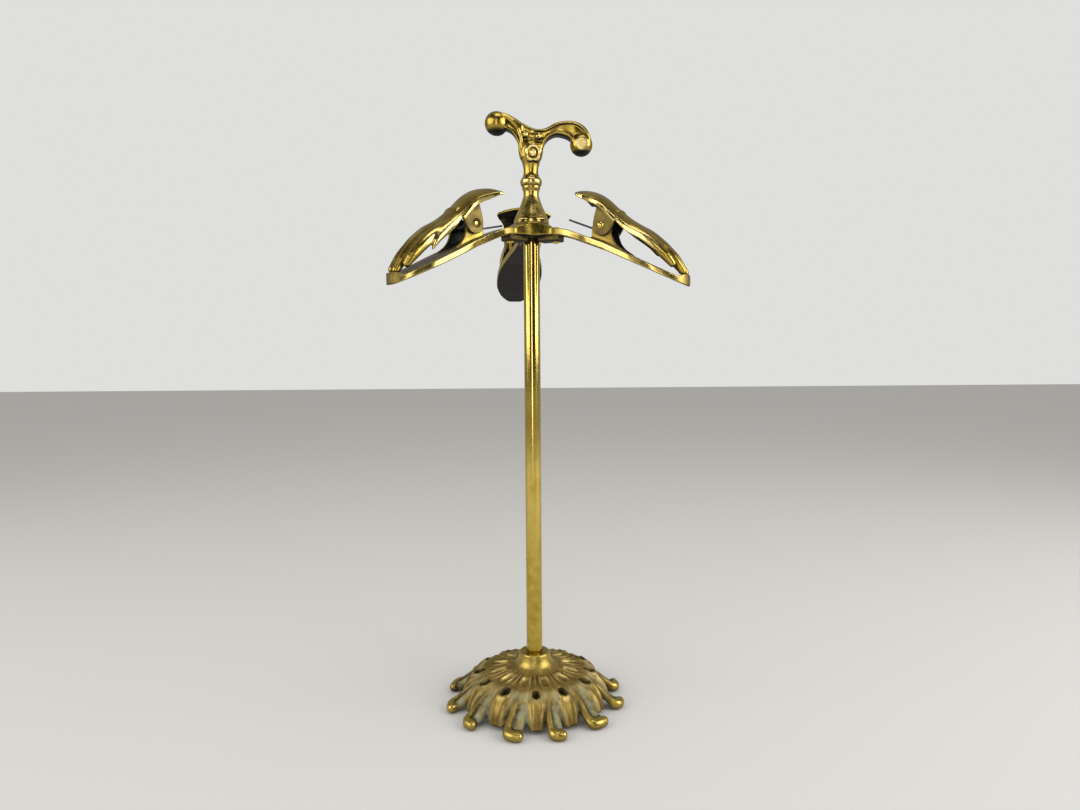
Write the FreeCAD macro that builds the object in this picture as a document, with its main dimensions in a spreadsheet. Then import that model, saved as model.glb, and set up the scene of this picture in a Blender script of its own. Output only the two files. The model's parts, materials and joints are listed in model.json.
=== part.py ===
import FreeCAD, Part
import math
import os

import Sketcher

# Eyeglasses display stand: a brass foot and post, a scrolled finial, and three sprung clips on a hub.
# Frame: +Z up, origin on the post's axis at table level, the finial's scrolls along X. Millimetres.
# Each clip is drawn in its own frame, its arm along +X and its thumb on the +Y side, and is then turned
# about Z to its place.

Vector = FreeCAD.Vector
UP = Vector(0, 0, 1)
SIDEWAYS = Vector(0, 1, 0)

# Alias, value, meaning
SIZES = (
    ("post_dia", 7.94, "5/16 in brass tube"),
    ("post_bore", 5.0, "bore of the tube"),
    ("post_seat_z", 12.0, "ledge in the base where the tube stands"),
    ("rod_dia", 4.0, "threaded rod through the tube"),
    ("slip", 0.05, "radial clearance of every pin and rod in its hole"),
    ("face_gap", 0.05, "gap between faces that turn on one another"),
    ("neck_radius", 7.6, "rim of the base's neck"),
    ("neck_z", 25.5, "height of the neck's rim"),
    ("shoulder_z", 16.5, "height of the dome just outside the neck"),
    ("hole_z", 14.1, "height of the dome at its holes"),
    ("hole_radius", 27.8, "from the axis to the middle of a hole"),
    ("hole_width", 4.0, "width of a hole"),
    ("hole_length", 5.0, "length of a hole, outwards"),
    ("lobe_radius", 37.4, "reach of the dome between its feet"),
    ("lobe_z", 2.2, "height of the dome's rim above the table"),
    ("foot_radius", 43.4, "from the axis to the middle of a foot's knob"),
    ("knob_dia", 6.0, "knob at the end of a foot"),
    ("petals", 12, "feet, and as many lobes and holes"),
    ("wall", 2.2, "wall of the base casting"),
    ("hub_z", 232.2, "underside of the hub ring, at the tube's top"),
    ("hub_height", 6.1, "height of the hub ring"),
    ("hub_radius", 9.7, "hub ring"),
    ("tongue_thick", 2.6, "tongue under an arm's root"),
    ("tongue_reach", 15.6, "from the axis to a tongue's end"),
    ("root_width", 9.0, "width of an arm's root"),
    ("right_azimuth", -22.4, "direction of the right clip"),
    ("back_azimuth", 97.6, "direction of the back clip"),
    ("left_azimuth", 217.6, "direction of the left clip"),
    ("plate_thick", 2.9, "height of an arm's plate, measured upright"),
    ("plate_width", 24.4, "widest part of an arm's plate"),
    ("tip_reach", 77.3, "from the axis to an arm's end"),
    ("tip_z", 205.8, "lowest point of an arm"),
    ("lip_height", 5.4, "upturned lip at an arm's end"),
    ("jaw_gap", 0.15, "gap between fingertips and lip"),
    ("pivot_x", 37.8, "pivot pin, out from the axis"),
    ("pivot_z", 234.5, "pivot pin, above the table"),
    ("pin_dia", 2.4, "pivot pin"),
    ("ear_inside", 5.8, "arm's ear, inner face from the clip's middle"),
    ("ear_outside", 7.4, "arm's ear, outer face from the clip's middle"),
    ("lug_inside", 7.6, "hand's lug, inner face from the clip's middle"),
    ("lug_outside", 9.2, "hand's lug, outer face from the clip's middle"),
    ("wire_dia", 0.9, "spring wire"),
    ("coil_radius", 2.3, "from the pin's axis to the middle of the wire"),
    ("coil_turns", 7, "turns of a spring"),
    ("rivet_dia", 2.6, "rivet through an arm's root"),
    ("rivet_x", 12.7, "rivet, out from the axis"),
    ("stem_z", 277.0, "top of the finial's turned stem"),
    ("scroll_dia", 6.4, "height of a scroll where it leaves the stem"),
    ("left_ball_dia", 11.5, "ball at the end of the tall left scroll"),
    ("right_ball_dia", 10.9, "ball at the end of the right scroll"),
)

doc = FreeCAD.newDocument("eyeglasses_stand")
sheet = doc.addObject("Spreadsheet::Sheet", "Sizes")
for row, (alias, value, meaning) in enumerate(SIZES, start=1):
    sheet.set(f"A{row}", meaning)
    sheet.set(f"B{row}", str(value))
    sheet.setAlias(f"B{row}", alias)
doc.recompute()


# ---- sizes that stay bound to the sheet ----


class Bound:
    """A size worked out from the sheet: its value now and the expression that keeps it bound."""

    def __init__(self, value, text):
        self.value = value
        self.text = text

    def __add__(self, other):
        other = bound(other)
        return Bound(self.value + other.value, f"({self.text} + {other.text})")

    def __sub__(self, other):
        other = bound(other)
        return Bound(self.value - other.value, f"({self.text} - {other.text})")

    def __mul__(self, factor):
        return Bound(self.value * factor, f"({self.text} * {factor})")

    def __neg__(self):
        return Bound(-self.value, f"(-{self.text})")


def bound(amount):
    return amount if isinstance(amount, Bound) else Bound(float(amount), f"({amount})")


def size(alias):
    return Bound(float(sheet.get(alias)), f"Sizes.{alias}")


def bind(obj, **amounts):
    """Binds properties of an object to sizes."""
    for name, amount in amounts.items():
        obj.setExpression(name, bound(amount).text)


# ---- sketches and features ----


def origin_plane(body, role):
    return next(feature for feature in body.Origin.OriginFeatures if feature.Role == role)


def new_sketch(body, name, role):
    sketch = body.newObject("Sketcher::SketchObject", name)
    sketch.AttachmentSupport = (origin_plane(body, role), [""])
    sketch.MapMode = "FlatFace"
    return sketch


def fix_point(sketch, geometry, end, x, y):
    for kind, amount in (("DistanceX", x), ("DistanceY", y)):
        rule = Sketcher.Constraint(kind, -1, 1, geometry, end, amount.value)
        index = sketch.addConstraint(rule)
        sketch.setExpression(f"Constraints[{index}]", amount.text)


def add_outline(sketch, corners):
    """A closed outline of straight lines with every corner bound to the sheet."""
    corners = [(bound(x), bound(y)) for x, y in corners]
    first = sketch.GeometryCount
    ends = corners[1:] + corners[:1]
    for (x, y), (end_x, end_y) in zip(corners, ends):
        start = Vector(x.value, y.value, 0)
        sketch.addGeometry(Part.LineSegment(start, Vector(end_x.value, end_y.value, 0)))
    for i, (x, y) in enumerate(corners):
        following = first + (i + 1) % len(corners)
        sketch.addConstraint(Sketcher.Constraint("Coincident", first + i, 2, following, 1))
        fix_point(sketch, first + i, 1, x, y)


def add_circle(sketch, x, y, radius):
    x, y, radius = bound(x), bound(y), bound(radius)
    index = sketch.addGeometry(Part.Circle(Vector(x.value, y.value, 0), UP, radius.value))
    fix_point(sketch, index, 3, x, y)
    rule = sketch.addConstraint(Sketcher.Constraint("Radius", index, radius.value))
    sketch.setExpression(f"Constraints[{rule}]", radius.text)


def add_pad(body, name, sketch, length, both_ways=False):
    pad = body.newObject("PartDesign::Pad", name)
    pad.Profile = sketch
    pad.Midplane = both_ways
    bind(pad, Length=length)
    return pad


def add_cut(body, name, sketch, length, both_ways=True):
    """A pocket, which has to take something away."""
    doc.recompute()
    before = body.Shape.Volume
    pocket = body.newObject("PartDesign::Pocket", name)
    pocket.Profile = sketch
    pocket.Midplane = both_ways
    bind(pocket, Length=length)
    doc.recompute()
    if not body.Shape.Volume < before - 1e-3:
        raise RuntimeError(f"{name} cuts nothing")
    return pocket


def add_turning(body, name, sketch):
    """The sketch turned all the way round its upright axis."""
    turning = body.newObject("PartDesign::Revolution", name)
    turning.Profile = sketch
    turning.ReferenceAxis = (sketch, ["V_Axis"])
    turning.Angle = 360
    return turning


def add_ring_of(body, name, features, count):
    """Features repeated evenly round the upright axis."""
    ring = body.newObject("PartDesign::PolarPattern", name)
    ring.Originals = features
    ring.Axis = (new_sketch(body, f"{name}_axis", "XY_Plane"), ["N_Axis"])
    ring.Angle = 360
    bind(ring, Occurrences=count)
    body.Tip = ring
    doc.recompute()
    return ring


def new_body(label):
    body = doc.addObject("PartDesign::Body", label)
    body.Label = label
    return body


def put(obj, azimuth=None):
    """Places a sub-part, turned about the post's axis if it belongs to a clip."""
    if azimuth is not None:
        obj.Placement = FreeCAD.Placement(Vector(), FreeCAD.Rotation(UP, azimuth.value))
        obj.setExpression(".Placement.Rotation.Angle", azimuth.text)
    sub_parts.append(obj)


def put_shape(label, shape, azimuth=None):
    feature = doc.addObject("Part::Feature", label)
    feature.Label = label
    feature.Shape = shape
    put(feature, azimuth)


def turned(label, corners, azimuth=None):
    """A turned piece about Z from its half outline."""
    body = new_body(label)
    sketch = new_sketch(body, f"{label}_outline", "XZ_Plane")
    add_outline(sketch, corners)
    add_turning(body, f"{label}_turning", sketch)
    put(body, azimuth)
    return body


sub_parts = []


# ---- shapes that are cast by eye: lofts and spheres ----

# A round end: each further ring's radius and its distance, as shares of the radius before it.
ROUND_END = ((0.8, 0.6), (0.45, 0.35))


def ball(centre, radius):
    return Part.makeSphere(radius, centre)


def tapered_rod(stations):
    """A round-ended rod of changing thickness along a smooth path. Each station is x, y, z and radius."""
    centres = [Vector(*station[:3]) for station in stations]
    radii = [station[3] for station in stations]
    start_way = (centres[0] - centres[1]).normalize()
    end_way = (centres[-1] - centres[-2]).normalize()
    for share, reach in ROUND_END:
        centres.insert(0, centres[0] + start_way * radii[0] * reach)
        centres.append(centres[-1] + end_way * radii[-1] * reach)
        radii.insert(0, radii[0] * share)
        radii.append(radii[-1] * share)
    whole_way = centres[-1] - centres[0]
    across = Vector(1, 0, 0) if abs(whole_way.y) > abs(whole_way.x) else SIDEWAYS
    rings = []
    for i, (centre, radius) in enumerate(zip(centres, radii)):
        along = centres[min(i + 1, len(centres) - 1)] - centres[max(i - 1, 0)]
        ring = Part.Wire(Part.Edge(Part.Circle(Vector(), UP, radius)))
        turn = FreeCAD.Rotation(across, Vector(), along, "ZXY")
        ring.Placement = FreeCAD.Placement(centre, turn)
        rings.append(ring)
    return Part.makeLoft(rings, True)


def fused(shapes):
    return shapes[0].multiFuse(shapes[1:])


# ---- the stand itself ----

# How far a foot's knob is cut off level by the table.
FOOT_FLAT = 0.4
# Corners of an oval hole: outwards and across, as shares of its length and width.
OVAL_CORNERS = (
    (-0.5, 0.25),
    (-0.25, 0.5),
    (0.25, 0.5),
    (0.5, 0.25),
    (0.5, -0.25),
    (0.25, -0.5),
    (-0.25, -0.5),
    (-0.5, -0.25),
)


def make_base():
    """Hollow cast foot: neck, dome with holes, and feet that end in knobs."""
    body = new_body("base")
    wall = size("wall")
    neck, neck_z = size("neck_radius"), size("neck_z")
    seat, shoulder = size("post_seat_z"), size("shoulder_z")
    socket, bore = size("post_dia") * 0.5 + size("slip"), size("rod_dia") * 0.5 + size("slip")
    hole_at, hole_z = size("hole_radius"), size("hole_z")
    rim, rim_z = size("lobe_radius"), size("lobe_z")
    profile = new_sketch(body, "base_profile", "XZ_Plane")
    outside = [
        (socket, neck_z - 1.2),
        (neck - 1.2, neck_z),
        (neck, neck_z - 0.6),
        (neck + 1.0, neck_z - 3.5),
        (neck + 3.4, shoulder + 2.0),
        (neck + 7.4, shoulder),
        (hole_at, hole_z),
        (rim - 3.6, hole_z - 3.4),
        (rim - 0.6, hole_z - 7.6),
        (rim, rim_z),
    ]
    inside = [
        (rim - wall, rim_z),
        (rim - 3.4, hole_z - 8.6),
        (rim - 5.6, hole_z - 5.4),
        (hole_at - 0.6, hole_z - wall),
        (neck + 6.0, shoulder - wall - 0.6),
        (neck, seat - 3.0),
        (bore, seat - 3.0),
        (bore, seat),
        (socket, seat),
    ]
    add_outline(profile, outside + inside)
    add_turning(body, "base_dome", profile)
    doc.recompute()

    foot, knob = size("foot_radius"), size("knob_dia")
    leg = body.newObject("PartDesign::AdditiveEllipsoid", "leg")
    bind(leg, Radius1=knob * 0.55, Radius2=(foot - rim) * 1.5, Radius3=knob * 0.5)
    leg.setExpression(".Placement.Base.x", (rim - 0.6).text)
    leg.setExpression(".Placement.Base.z", (knob * 0.5).text)
    tip = body.newObject("PartDesign::AdditiveSphere", "knob")
    bind(tip, Radius=knob * 0.5)
    tip.setExpression(".Placement.Base.x", foot.text)
    tip.setExpression(".Placement.Base.z", (knob * 0.5 - FOOT_FLAT).text)
    doc.recompute()
    add_ring_of(body, "feet", [leg, tip], size("petals"))

    # The holes lie midway between the feet, so they are drawn half a pitch round from the first foot.
    half_pitch = math.pi / size("petals").value
    length, width = size("hole_length"), size("hole_width")
    oval = new_sketch(body, "hole_outline", "XY_Plane")
    corners = []
    for out, across in OVAL_CORNERS:
        outwards, sideways = hole_at + length * out, width * across
        x = outwards * math.cos(half_pitch) - sideways * math.sin(half_pitch)
        y = outwards * math.sin(half_pitch) + sideways * math.cos(half_pitch)
        corners.append((x, y))
    add_outline(oval, corners)
    hole = add_cut(body, "hole", oval, neck_z * 2.0)
    add_ring_of(body, "holes", [hole], size("petals"))

    floor = new_sketch(body, "floor_outline", "XY_Plane")
    add_circle(floor, 0, 0, foot + knob)
    ground = add_cut(body, "ground", floor, knob, both_ways=False)
    body.Tip = ground
    put(body, Bound(180.0 / size("petals").value, f"(180 / {size('petals').text})"))


def make_post():
    seat, top = size("post_seat_z"), size("hub_z") - size("face_gap")
    outer, inner = size("post_dia") * 0.5, size("post_bore") * 0.5
    turned("post", [(inner, seat), (outer, seat), (outer, top), (inner, top)])


NUT_HEIGHT = 3.2
WASHER_HEIGHT = 0.8


def make_rod_and_nut():
    """Threaded rod from below the base up into the finial, with its nut and washer."""
    under = size("post_seat_z") - 3.0
    washer_z = under - WASHER_HEIGHT
    nut_z = washer_z - NUT_HEIGHT
    radius, clear = size("rod_dia") * 0.5, size("rod_dia") * 0.5 + size("slip")
    low, high = nut_z - 1.2, size("hub_z") + size("hub_height") + 14.0
    chamfer = 0.5
    rod_outline = [
        (0, low),
        (radius - chamfer, low),
        (radius, low + chamfer),
        (radius, high - chamfer),
        (radius - chamfer, high),
        (0, high),
    ]
    turned("tie_rod", rod_outline)
    washer_outline = [(clear, washer_z), (radius * 2.6, washer_z), (radius * 2.6, under), (clear, under)]
    turned("base_washer", washer_outline)

    body = new_body("base_nut")
    sketch = new_sketch(body, "nut_outline", "XY_Plane")
    half_side, flat = radius * 1.0104, radius * 1.75
    hexagon = [
        (half_side, flat),
        (-half_side, flat),
        (half_side * -2.0, 0),
        (-half_side, -flat),
        (half_side, -flat),
        (half_side * 2.0, 0),
    ]
    add_outline(sketch, hexagon)
    add_circle(sketch, 0, 0, clear)
    sketch.setExpression(".AttachmentOffset.Base.z", nut_z.text)
    add_pad(body, "nut", sketch, NUT_HEIGHT)
    put(body)


CLIPS = ("right", "back", "left")


def make_hub():
    """Ring boss that the finial clamps on the tube, with a tongue under each arm's root."""
    body = new_body("hub_spider")
    low, high = size("hub_z"), size("hub_z") + size("hub_height")
    reach, bore = size("hub_radius"), size("rod_dia") * 0.5 + size("slip")
    ring = new_sketch(body, "ring_outline", "XZ_Plane")
    ring_outline = [
        (bore, low),
        (reach - 1.0, low),
        (reach, low + 1.0),
        (reach, high - 2.4),
        (reach - 1.2, high),
        (bore, high),
    ]
    add_outline(ring, ring_outline)
    add_turning(body, "ring", ring)
    half, rivet = size("root_width") * 0.5 - 0.4, size("rivet_dia") * 0.5 + size("slip")
    thick, start, end = size("tongue_thick"), size("post_dia") * 0.5 + 0.6, size("tongue_reach")
    for side in CLIPS:
        azimuth = size(f"{side}_azimuth")
        tongue = new_sketch(body, f"{side}_tongue_outline", "XY_Plane")
        tongue.AttachmentOffset = FreeCAD.Placement(Vector(0, 0, 1), FreeCAD.Rotation(UP, azimuth.value))
        tongue.setExpression(".AttachmentOffset.Base.z", (low - thick).text)
        tongue.setExpression(".AttachmentOffset.Rotation.Angle", azimuth.text)
        add_outline(tongue, [(start, -half), (end, -half), (end, half), (start, half)])
        add_circle(tongue, size("rivet_x"), 0, rivet)
        add_pad(body, f"{side}_tongue", tongue, thick)
    put(body)


def bell_outline():
    """Half outline of the finial's turned stem: bell foot, waist, bead and neck."""
    low = size("hub_z") + size("hub_height") + size("face_gap")
    top, bore = size("stem_z"), size("rod_dia") * 0.5 + size("slip")
    depth = 14.5
    return [
        (bore, low),
        (8.0, low),
        (8.5, low + 0.9),
        (7.4, low + 4.6),
        (5.8, low + 8.9),
        (4.4, low + 13.4),
        (3.8, low + 16.4),
        (4.9, low + 18.4),
        (5.2, low + 20.0),
        (4.9, low + 21.6),
        (3.6, low + 24.0),
        (3.7, low + 27.6),
        (5.0, top - 6.0),
        (5.4, top - 2.0),
        (4.2, top),
        (0, top + 0.6),
        (0, low + depth + 1.2),
        (bore, low + depth),
    ]


def scroll(points, start_radius, end_radius):
    count = len(points) - 1
    stations = []
    for i, (x, z) in enumerate(points):
        stations.append((x, 0.0, z, start_radius + (end_radius - start_radius) * i / count))
    return tapered_rod(stations)


def make_finial():
    """Turned stem that carries two unequal scrolls, each ending in a ball, and a flower on both faces."""
    outline = [Vector(bound(x).value, 0, bound(z).value) for x, z in bell_outline()]
    profile = Part.Face(Part.makePolygon(outline + outline[:1]))
    stem = profile.revolve(Vector(), UP, 360)
    thick = size("scroll_dia").value / 2
    saddle_z = size("stem_z").value + 1.5
    right_path = [(0, saddle_z - 2.0), (5.5, saddle_z + 1.6), (12.0, saddle_z + 4.6)]
    right_path += [(19.0, saddle_z + 5.6), (25.6, saddle_z + 2.6), (27.2, saddle_z - 1.6)]
    left_path = [(0, saddle_z - 2.0), (-5.0, saddle_z + 1.6), (-9.6, saddle_z + 6.4), (-14.6, saddle_z + 9.6)]
    flower_z = size("stem_z").value - 5.4
    pieces = [
        stem,
        scroll(right_path, thick, thick * 0.7),
        scroll(left_path, thick, thick * 0.8),
        ball(Vector(24.4, 0, 276.3), size("right_ball_dia").value / 2),
        ball(Vector(-16.4, 0, 286.6), size("left_ball_dia").value / 2),
        Part.makeCylinder(4.2, 11.4, Vector(1.1, -5.7, flower_z), SIDEWAYS),
    ]
    put_shape("finial", fused(pieces))


# ---- the clips ----

# How much thicker an arm is at its root.
ROOT_CROWN = 0.4


def make_arm(side):
    """Lower jaw: a bent plate with a leaf-shaped plan, an upturned lip and two ears for the pin."""
    azimuth = size(f"{side}_azimuth")
    body = new_body(f"{side}_arm")
    hub_z, root, thick = size("hub_z"), size("hub_radius") + size("face_gap"), size("plate_thick")
    reach, tip_z, lip = size("tip_reach"), size("tip_z"), size("lip_height")
    knee = (size("pivot_x") + 0.5, hub_z - 8.4)
    profile = new_sketch(body, f"{side}_arm_profile", "XZ_Plane")
    profile_outline = [
        (root, hub_z),
        (size("tongue_reach") + 0.2, hub_z),
        (knee[0], knee[1]),
        (reach - 0.9, tip_z),
        (reach, tip_z + 0.9),
        (reach, tip_z + lip),
        (reach - 2.4, tip_z + lip),
        (reach - 2.9, tip_z + thick + 1.5),
        (knee[0] + 0.8, knee[1] + thick),
        (size("tongue_reach") + 1.2, hub_z + thick + ROOT_CROWN),
        (root, hub_z + thick + ROOT_CROWN),
    ]
    add_outline(profile, profile_outline)
    width, root_half = size("plate_width"), size("root_width") * 0.5
    add_pad(body, f"{side}_plate", profile, width, both_ways=True)

    plan = new_sketch(body, f"{side}_arm_plan", "XY_Plane")
    half = width * 0.5
    upper_side = [
        (root - 1.0, root_half),
        (size("tongue_reach") + 4.0, root_half),
        (size("pivot_x") - 5.0, size("lug_outside") + 0.2),
        (size("pivot_x") + 6.0, half - 0.8),
        (size("pivot_x") + 14.0, half),
        (reach - 14.0, half - 0.6),
        (reach - 5.6, half - 3.8),
        (reach - 2.0, half - 5.8),
        (reach + 0.5, half - 9.2),
    ]
    add_outline(plan, upper_side + [(x, -y) for x, y in reversed(upper_side)])
    frame_low, frame_high = root - 4.0, reach + 4.0
    frame = [(frame_low, -width), (frame_high, -width), (frame_high, width), (frame_low, width)]
    add_outline(plan, frame)
    add_cut(body, f"{side}_plan_cut", plan, hub_z * 2.5)

    pivot_x, pivot_z = size("pivot_x"), size("pivot_z")
    ear = new_sketch(body, f"{side}_ear_outline", "XZ_Plane")
    ear_outline = [
        (pivot_x - 4.6, knee[1] + 3.4),
        (pivot_x - 4.4, pivot_z + 0.8),
        (pivot_x - 2.6, pivot_z + 3.2),
        (pivot_x + 0.6, pivot_z + 4.0),
        (pivot_x + 3.6, pivot_z + 2.6),
        (pivot_x + 4.8, pivot_z - 1.4),
        (pivot_x + 6.6, pivot_z - 5.6),
        (pivot_x + 9.6, pivot_z - 9.6),
        (pivot_x + 11.4, pivot_z - 13.0),
        (knee[0], knee[1] + 0.6),
    ]
    add_outline(ear, ear_outline)
    add_pad(body, f"{side}_ears", ear, size("ear_outside") * 2.0, both_ways=True)
    between = new_sketch(body, f"{side}_between_ears", "XZ_Plane")
    between_outline = [
        (root, hub_z + thick + ROOT_CROWN),
        (size("tongue_reach") + 1.2, hub_z + thick + ROOT_CROWN),
        (knee[0] + 0.8, knee[1] + thick),
        (pivot_x + 16.0, knee[1] - 3.9),
        (pivot_x + 16.0, pivot_z + 8.0),
        (root, pivot_z + 8.0),
    ]
    add_outline(between, between_outline)
    add_cut(body, f"{side}_ear_gap", between, size("ear_inside") * 2.0)
    bore = new_sketch(body, f"{side}_pin_hole", "XZ_Plane")
    add_circle(bore, pivot_x, pivot_z, size("pin_dia") * 0.5 + size("slip"))
    add_cut(body, f"{side}_pin_bore", bore, width)
    rivet = new_sketch(body, f"{side}_rivet_hole", "XY_Plane")
    add_circle(rivet, size("rivet_x"), 0, size("rivet_dia") * 0.5 + size("slip"))
    add_cut(body, f"{side}_rivet_bore", rivet, hub_z * 2.5)
    put(body, azimuth)


def arch(x, half_width, edge_z, crown_z, thick):
    """Cross-section of the sleeve and hand: a crowned strip, thicker in the middle."""
    rise = crown_z - edge_z
    back = [(-1.0, 0.0), (-0.75, 0.5), (-0.4, 0.88), (0.0, 1.0), (0.4, 0.88), (0.75, 0.5), (1.0, 0.0)]
    palm = [back[0]] + [(across * 0.86, up - (0.55 + 0.45 * up) * thick / rise) for across, up in back[1:-1]]
    edges = []
    for points in (back, palm + back[-1:]):
        curve = Part.BSplineCurve()
        curve.interpolate([Vector(x, across * half_width, edge_z + up * rise) for across, up in points])
        edges.append(curve.toShape())
    return Part.Wire(edges)


# Sleeve, wrist and back of the hand: x, half width, lower edge, crown and thickness.
HAND_SECTIONS = (
    (24.6, 14.2, 249.2, 252.0, 1.3),
    (29.0, 14.0, 247.6, 252.5, 1.5),
    (34.0, 12.2, 244.8, 251.2, 1.8),
    (39.0, 10.2, 241.6, 247.8, 2.2),
    (44.0, 8.9, 237.0, 243.4, 2.8),
    (49.0, 8.3, 231.8, 239.0, 3.4),
    (55.0, 8.6, 228.0, 234.6, 3.6),
    (61.0, 8.7, 224.2, 230.6, 3.4),
)
# Fingers from the index to the little finger: y at the knuckle and at the tip, x of the tip, radius.
FINGERS = (
    (6.3, 6.4, 70.4, 2.2),
    (2.2, 2.3, 75.5, 2.4),
    (-2.2, -2.2, 75.2, 2.4),
    (-6.3, -6.2, 69.6, 2.1),
)


def finger(knuckle_y, tip_y, tip_x, radius, lip_top):
    """One finger, bent down over the lip or, if it is shorter, ending above the plate."""
    tip_radius = radius * 0.72
    tip_z = max(lip_top + tip_radius, 222.5 - 1.28 * (tip_x - 68.0) - tip_radius)
    start_x, start_z = 57.5, 229.2
    stations = []
    for step in (0.0, 0.3, 0.6, 0.85, 1.0):
        bow = 2.3 * math.sin(math.pi * step)
        x = start_x + (tip_x - start_x) * step + bow * 0.5
        z = start_z + (tip_z - start_z) * step + bow
        y = knuckle_y + (tip_y - knuckle_y) * step
        stations.append((x, y, z, radius + (tip_radius - radius) * step))
    return tapered_rod(stations)


def hand_shape():
    """Upper jaw: flared sleeve, cuff, hand with fingers and thumb, and two lugs for the pin."""
    sleeve = Part.makeLoft([arch(*section) for section in HAND_SECTIONS], True)
    lip_top = size("tip_z").value + size("lip_height").value + size("jaw_gap").value
    pieces = [sleeve] + [finger(*numbers, lip_top) for numbers in FINGERS]
    thumb = [(49.5, 6.4, 232.6, 2.6), (54.5, 9.2, 228.4, 2.3)]
    thumb += [(59.0, 10.4, 224.4, 1.9), (62.6, 10.6, 221.6, 1.2)]
    pieces.append(tapered_rod(thumb))
    cuff = [(46.6, -8.2, 236.2, 0.9), (46.6, -4.8, 240.8, 0.9), (46.6, 0.0, 241.9, 0.9)]
    cuff += [(46.6, 4.8, 240.8, 0.9), (46.6, 8.2, 236.2, 0.9)]
    pieces.append(tapered_rod(cuff))

    pivot = Vector(size("pivot_x").value, 0, size("pivot_z").value)
    inside, outside = size("lug_inside").value, size("lug_outside").value
    hole_radius = size("pin_dia").value / 2 + size("slip").value
    bore = Part.makeCylinder(hole_radius, 4 * outside, pivot - SIDEWAYS * 2 * outside, SIDEWAYS)
    for low in (inside, -outside):
        corners = [(-2.4, 8.4), (-2.6, 0.0), (-0.9, -4.2), (2.6, -5.6), (6.2, -4.6), (8.4, -1.8), (9.2, 2.2)]
        points = [pivot + Vector(x, low, z) for x, z in corners]
        lug = Part.Face(Part.makePolygon(points + points[:1])).extrude(SIDEWAYS * (outside - inside))
        pieces.append(lug.cut(bore))
    return fused(pieces)


def make_pin(side):
    """Pivot pin with a domed head on the side away from the thumb and its tail flush in the other lug."""
    radius, head, head_height = size("pin_dia").value / 2, 1.8, 1.1
    outside = size("lug_outside").value
    tail, seat = outside - 0.4, outside + size("face_gap").value
    half_outline = (
        (0, -seat - head_height),
        (head * 0.6, -seat - head_height * 0.8),
        (head, -seat - head_height * 0.3),
        (head, -seat),
        (radius, -seat),
        (radius, tail),
        (0, tail),
    )
    pivot = Vector(size("pivot_x").value, 0, size("pivot_z").value)
    outline = [pivot + Vector(out, along, 0) for out, along in half_outline]
    pin = Part.Face(Part.makePolygon(outline + outline[:1])).revolve(pivot, SIDEWAYS, 360)
    put_shape(f"{side}_pivot_pin", pin, size(f"{side}_azimuth"))


# How steeply a spring's arm leg rises towards the hub, in degrees. The right one has slipped off its arm.
ARM_LEG_RISE = {"right": 22.0, "back": 11.0, "left": 12.0}
SLEEVE_LEG_RISE = 52.0
ARM_LEG_LENGTH = {"right": 17.4, "back": 19.6, "left": 22.5}
SLEEVE_LEG_LENGTH = 16.0
# Straight pieces in each turn of the coil, and how a sweep mitres the corners between them.
STEPS_PER_TURN = 12
MITRED = 1


def spring_path(side):
    """Middle line of a spring's wire: its leg over the arm, the coil round the pin, its leg under the sleeve."""
    radius, pitch = size("coil_radius").value, size("wire_dia").value * 1.12
    start = math.radians(-90.0 - ARM_LEG_RISE[side])
    end = math.radians(90.0 - SLEEVE_LEG_RISE)
    sweep = 2 * math.pi * (size("coil_turns").value - 1) + end - start
    turns = sweep / (2 * math.pi)
    pivot = Vector(size("pivot_x").value, 0, size("pivot_z").value)
    steps = round(STEPS_PER_TURN * turns)
    coil = []
    for i in range(steps + 1):
        turn = start + sweep * i / steps
        across = pitch * turns * (i / steps - 0.5)
        coil.append(pivot + Vector(radius * math.cos(turn), across, radius * math.sin(turn)))
    to_hub = Vector(math.sin(start), 0, -math.cos(start)) * ARM_LEG_LENGTH[side]
    to_sleeve = Vector(-math.sin(end), 0, math.cos(end)) * SLEEVE_LEG_LENGTH
    return [coil[0] + to_hub] + coil + [coil[-1] + to_sleeve]


def make_spring(side):
    """Torsion spring round the pin."""
    points = spring_path(side)
    end = Part.Circle(points[0], points[1] - points[0], size("wire_dia").value / 2)
    spring = Part.makePolygon(points).makePipeShell([Part.Wire(Part.Edge(end))], True, True, MITRED)
    put_shape(f"{side}_spring", spring, size(f"{side}_azimuth"))


def make_rivet(side):
    """Rivet that holds an arm's root on its tongue."""
    shank, head, head_height = size("rivet_dia").value / 2, 2.3, 1.0
    low = size("hub_z").value - size("tongue_thick").value
    high = size("hub_z").value + size("plate_thick").value + ROOT_CROWN
    half_outline = (
        (0, low - head_height),
        (head * 0.6, low - head_height * 0.8),
        (head, low),
        (shank, low),
        (shank, high),
        (head, high),
        (head * 0.6, high + head_height * 0.8),
        (0, high + head_height),
    )
    middle = Vector(size("rivet_x").value, 0, 0)
    outline = [middle + Vector(out, 0, z) for out, z in half_outline]
    rivet = Part.Face(Part.makePolygon(outline + outline[:1])).revolve(middle, UP, 360)
    put_shape(f"{side}_rivet", rivet, size(f"{side}_azimuth"))


make_base()
make_post()
make_rod_and_nut()
make_hub()
make_finial()
hand = hand_shape()
for clip in CLIPS:
    make_arm(clip)
    put_shape(f"{clip}_hand", hand, size(f"{clip}_azimuth"))
    make_pin(clip)
    make_spring(clip)
    make_rivet(clip)
doc.recompute()


# ---- checks and files ----

for obj in doc.Objects:
    if {"Invalid", "Error"} & set(obj.State):
        raise RuntimeError(f"{obj.Label} failed: {obj.State}")
for obj in sub_parts:
    if obj.Shape.isNull() or not obj.Shape.isValid() or not obj.Shape.Solids:
        raise RuntimeError(f"{obj.Label} has no valid solid")

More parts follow.
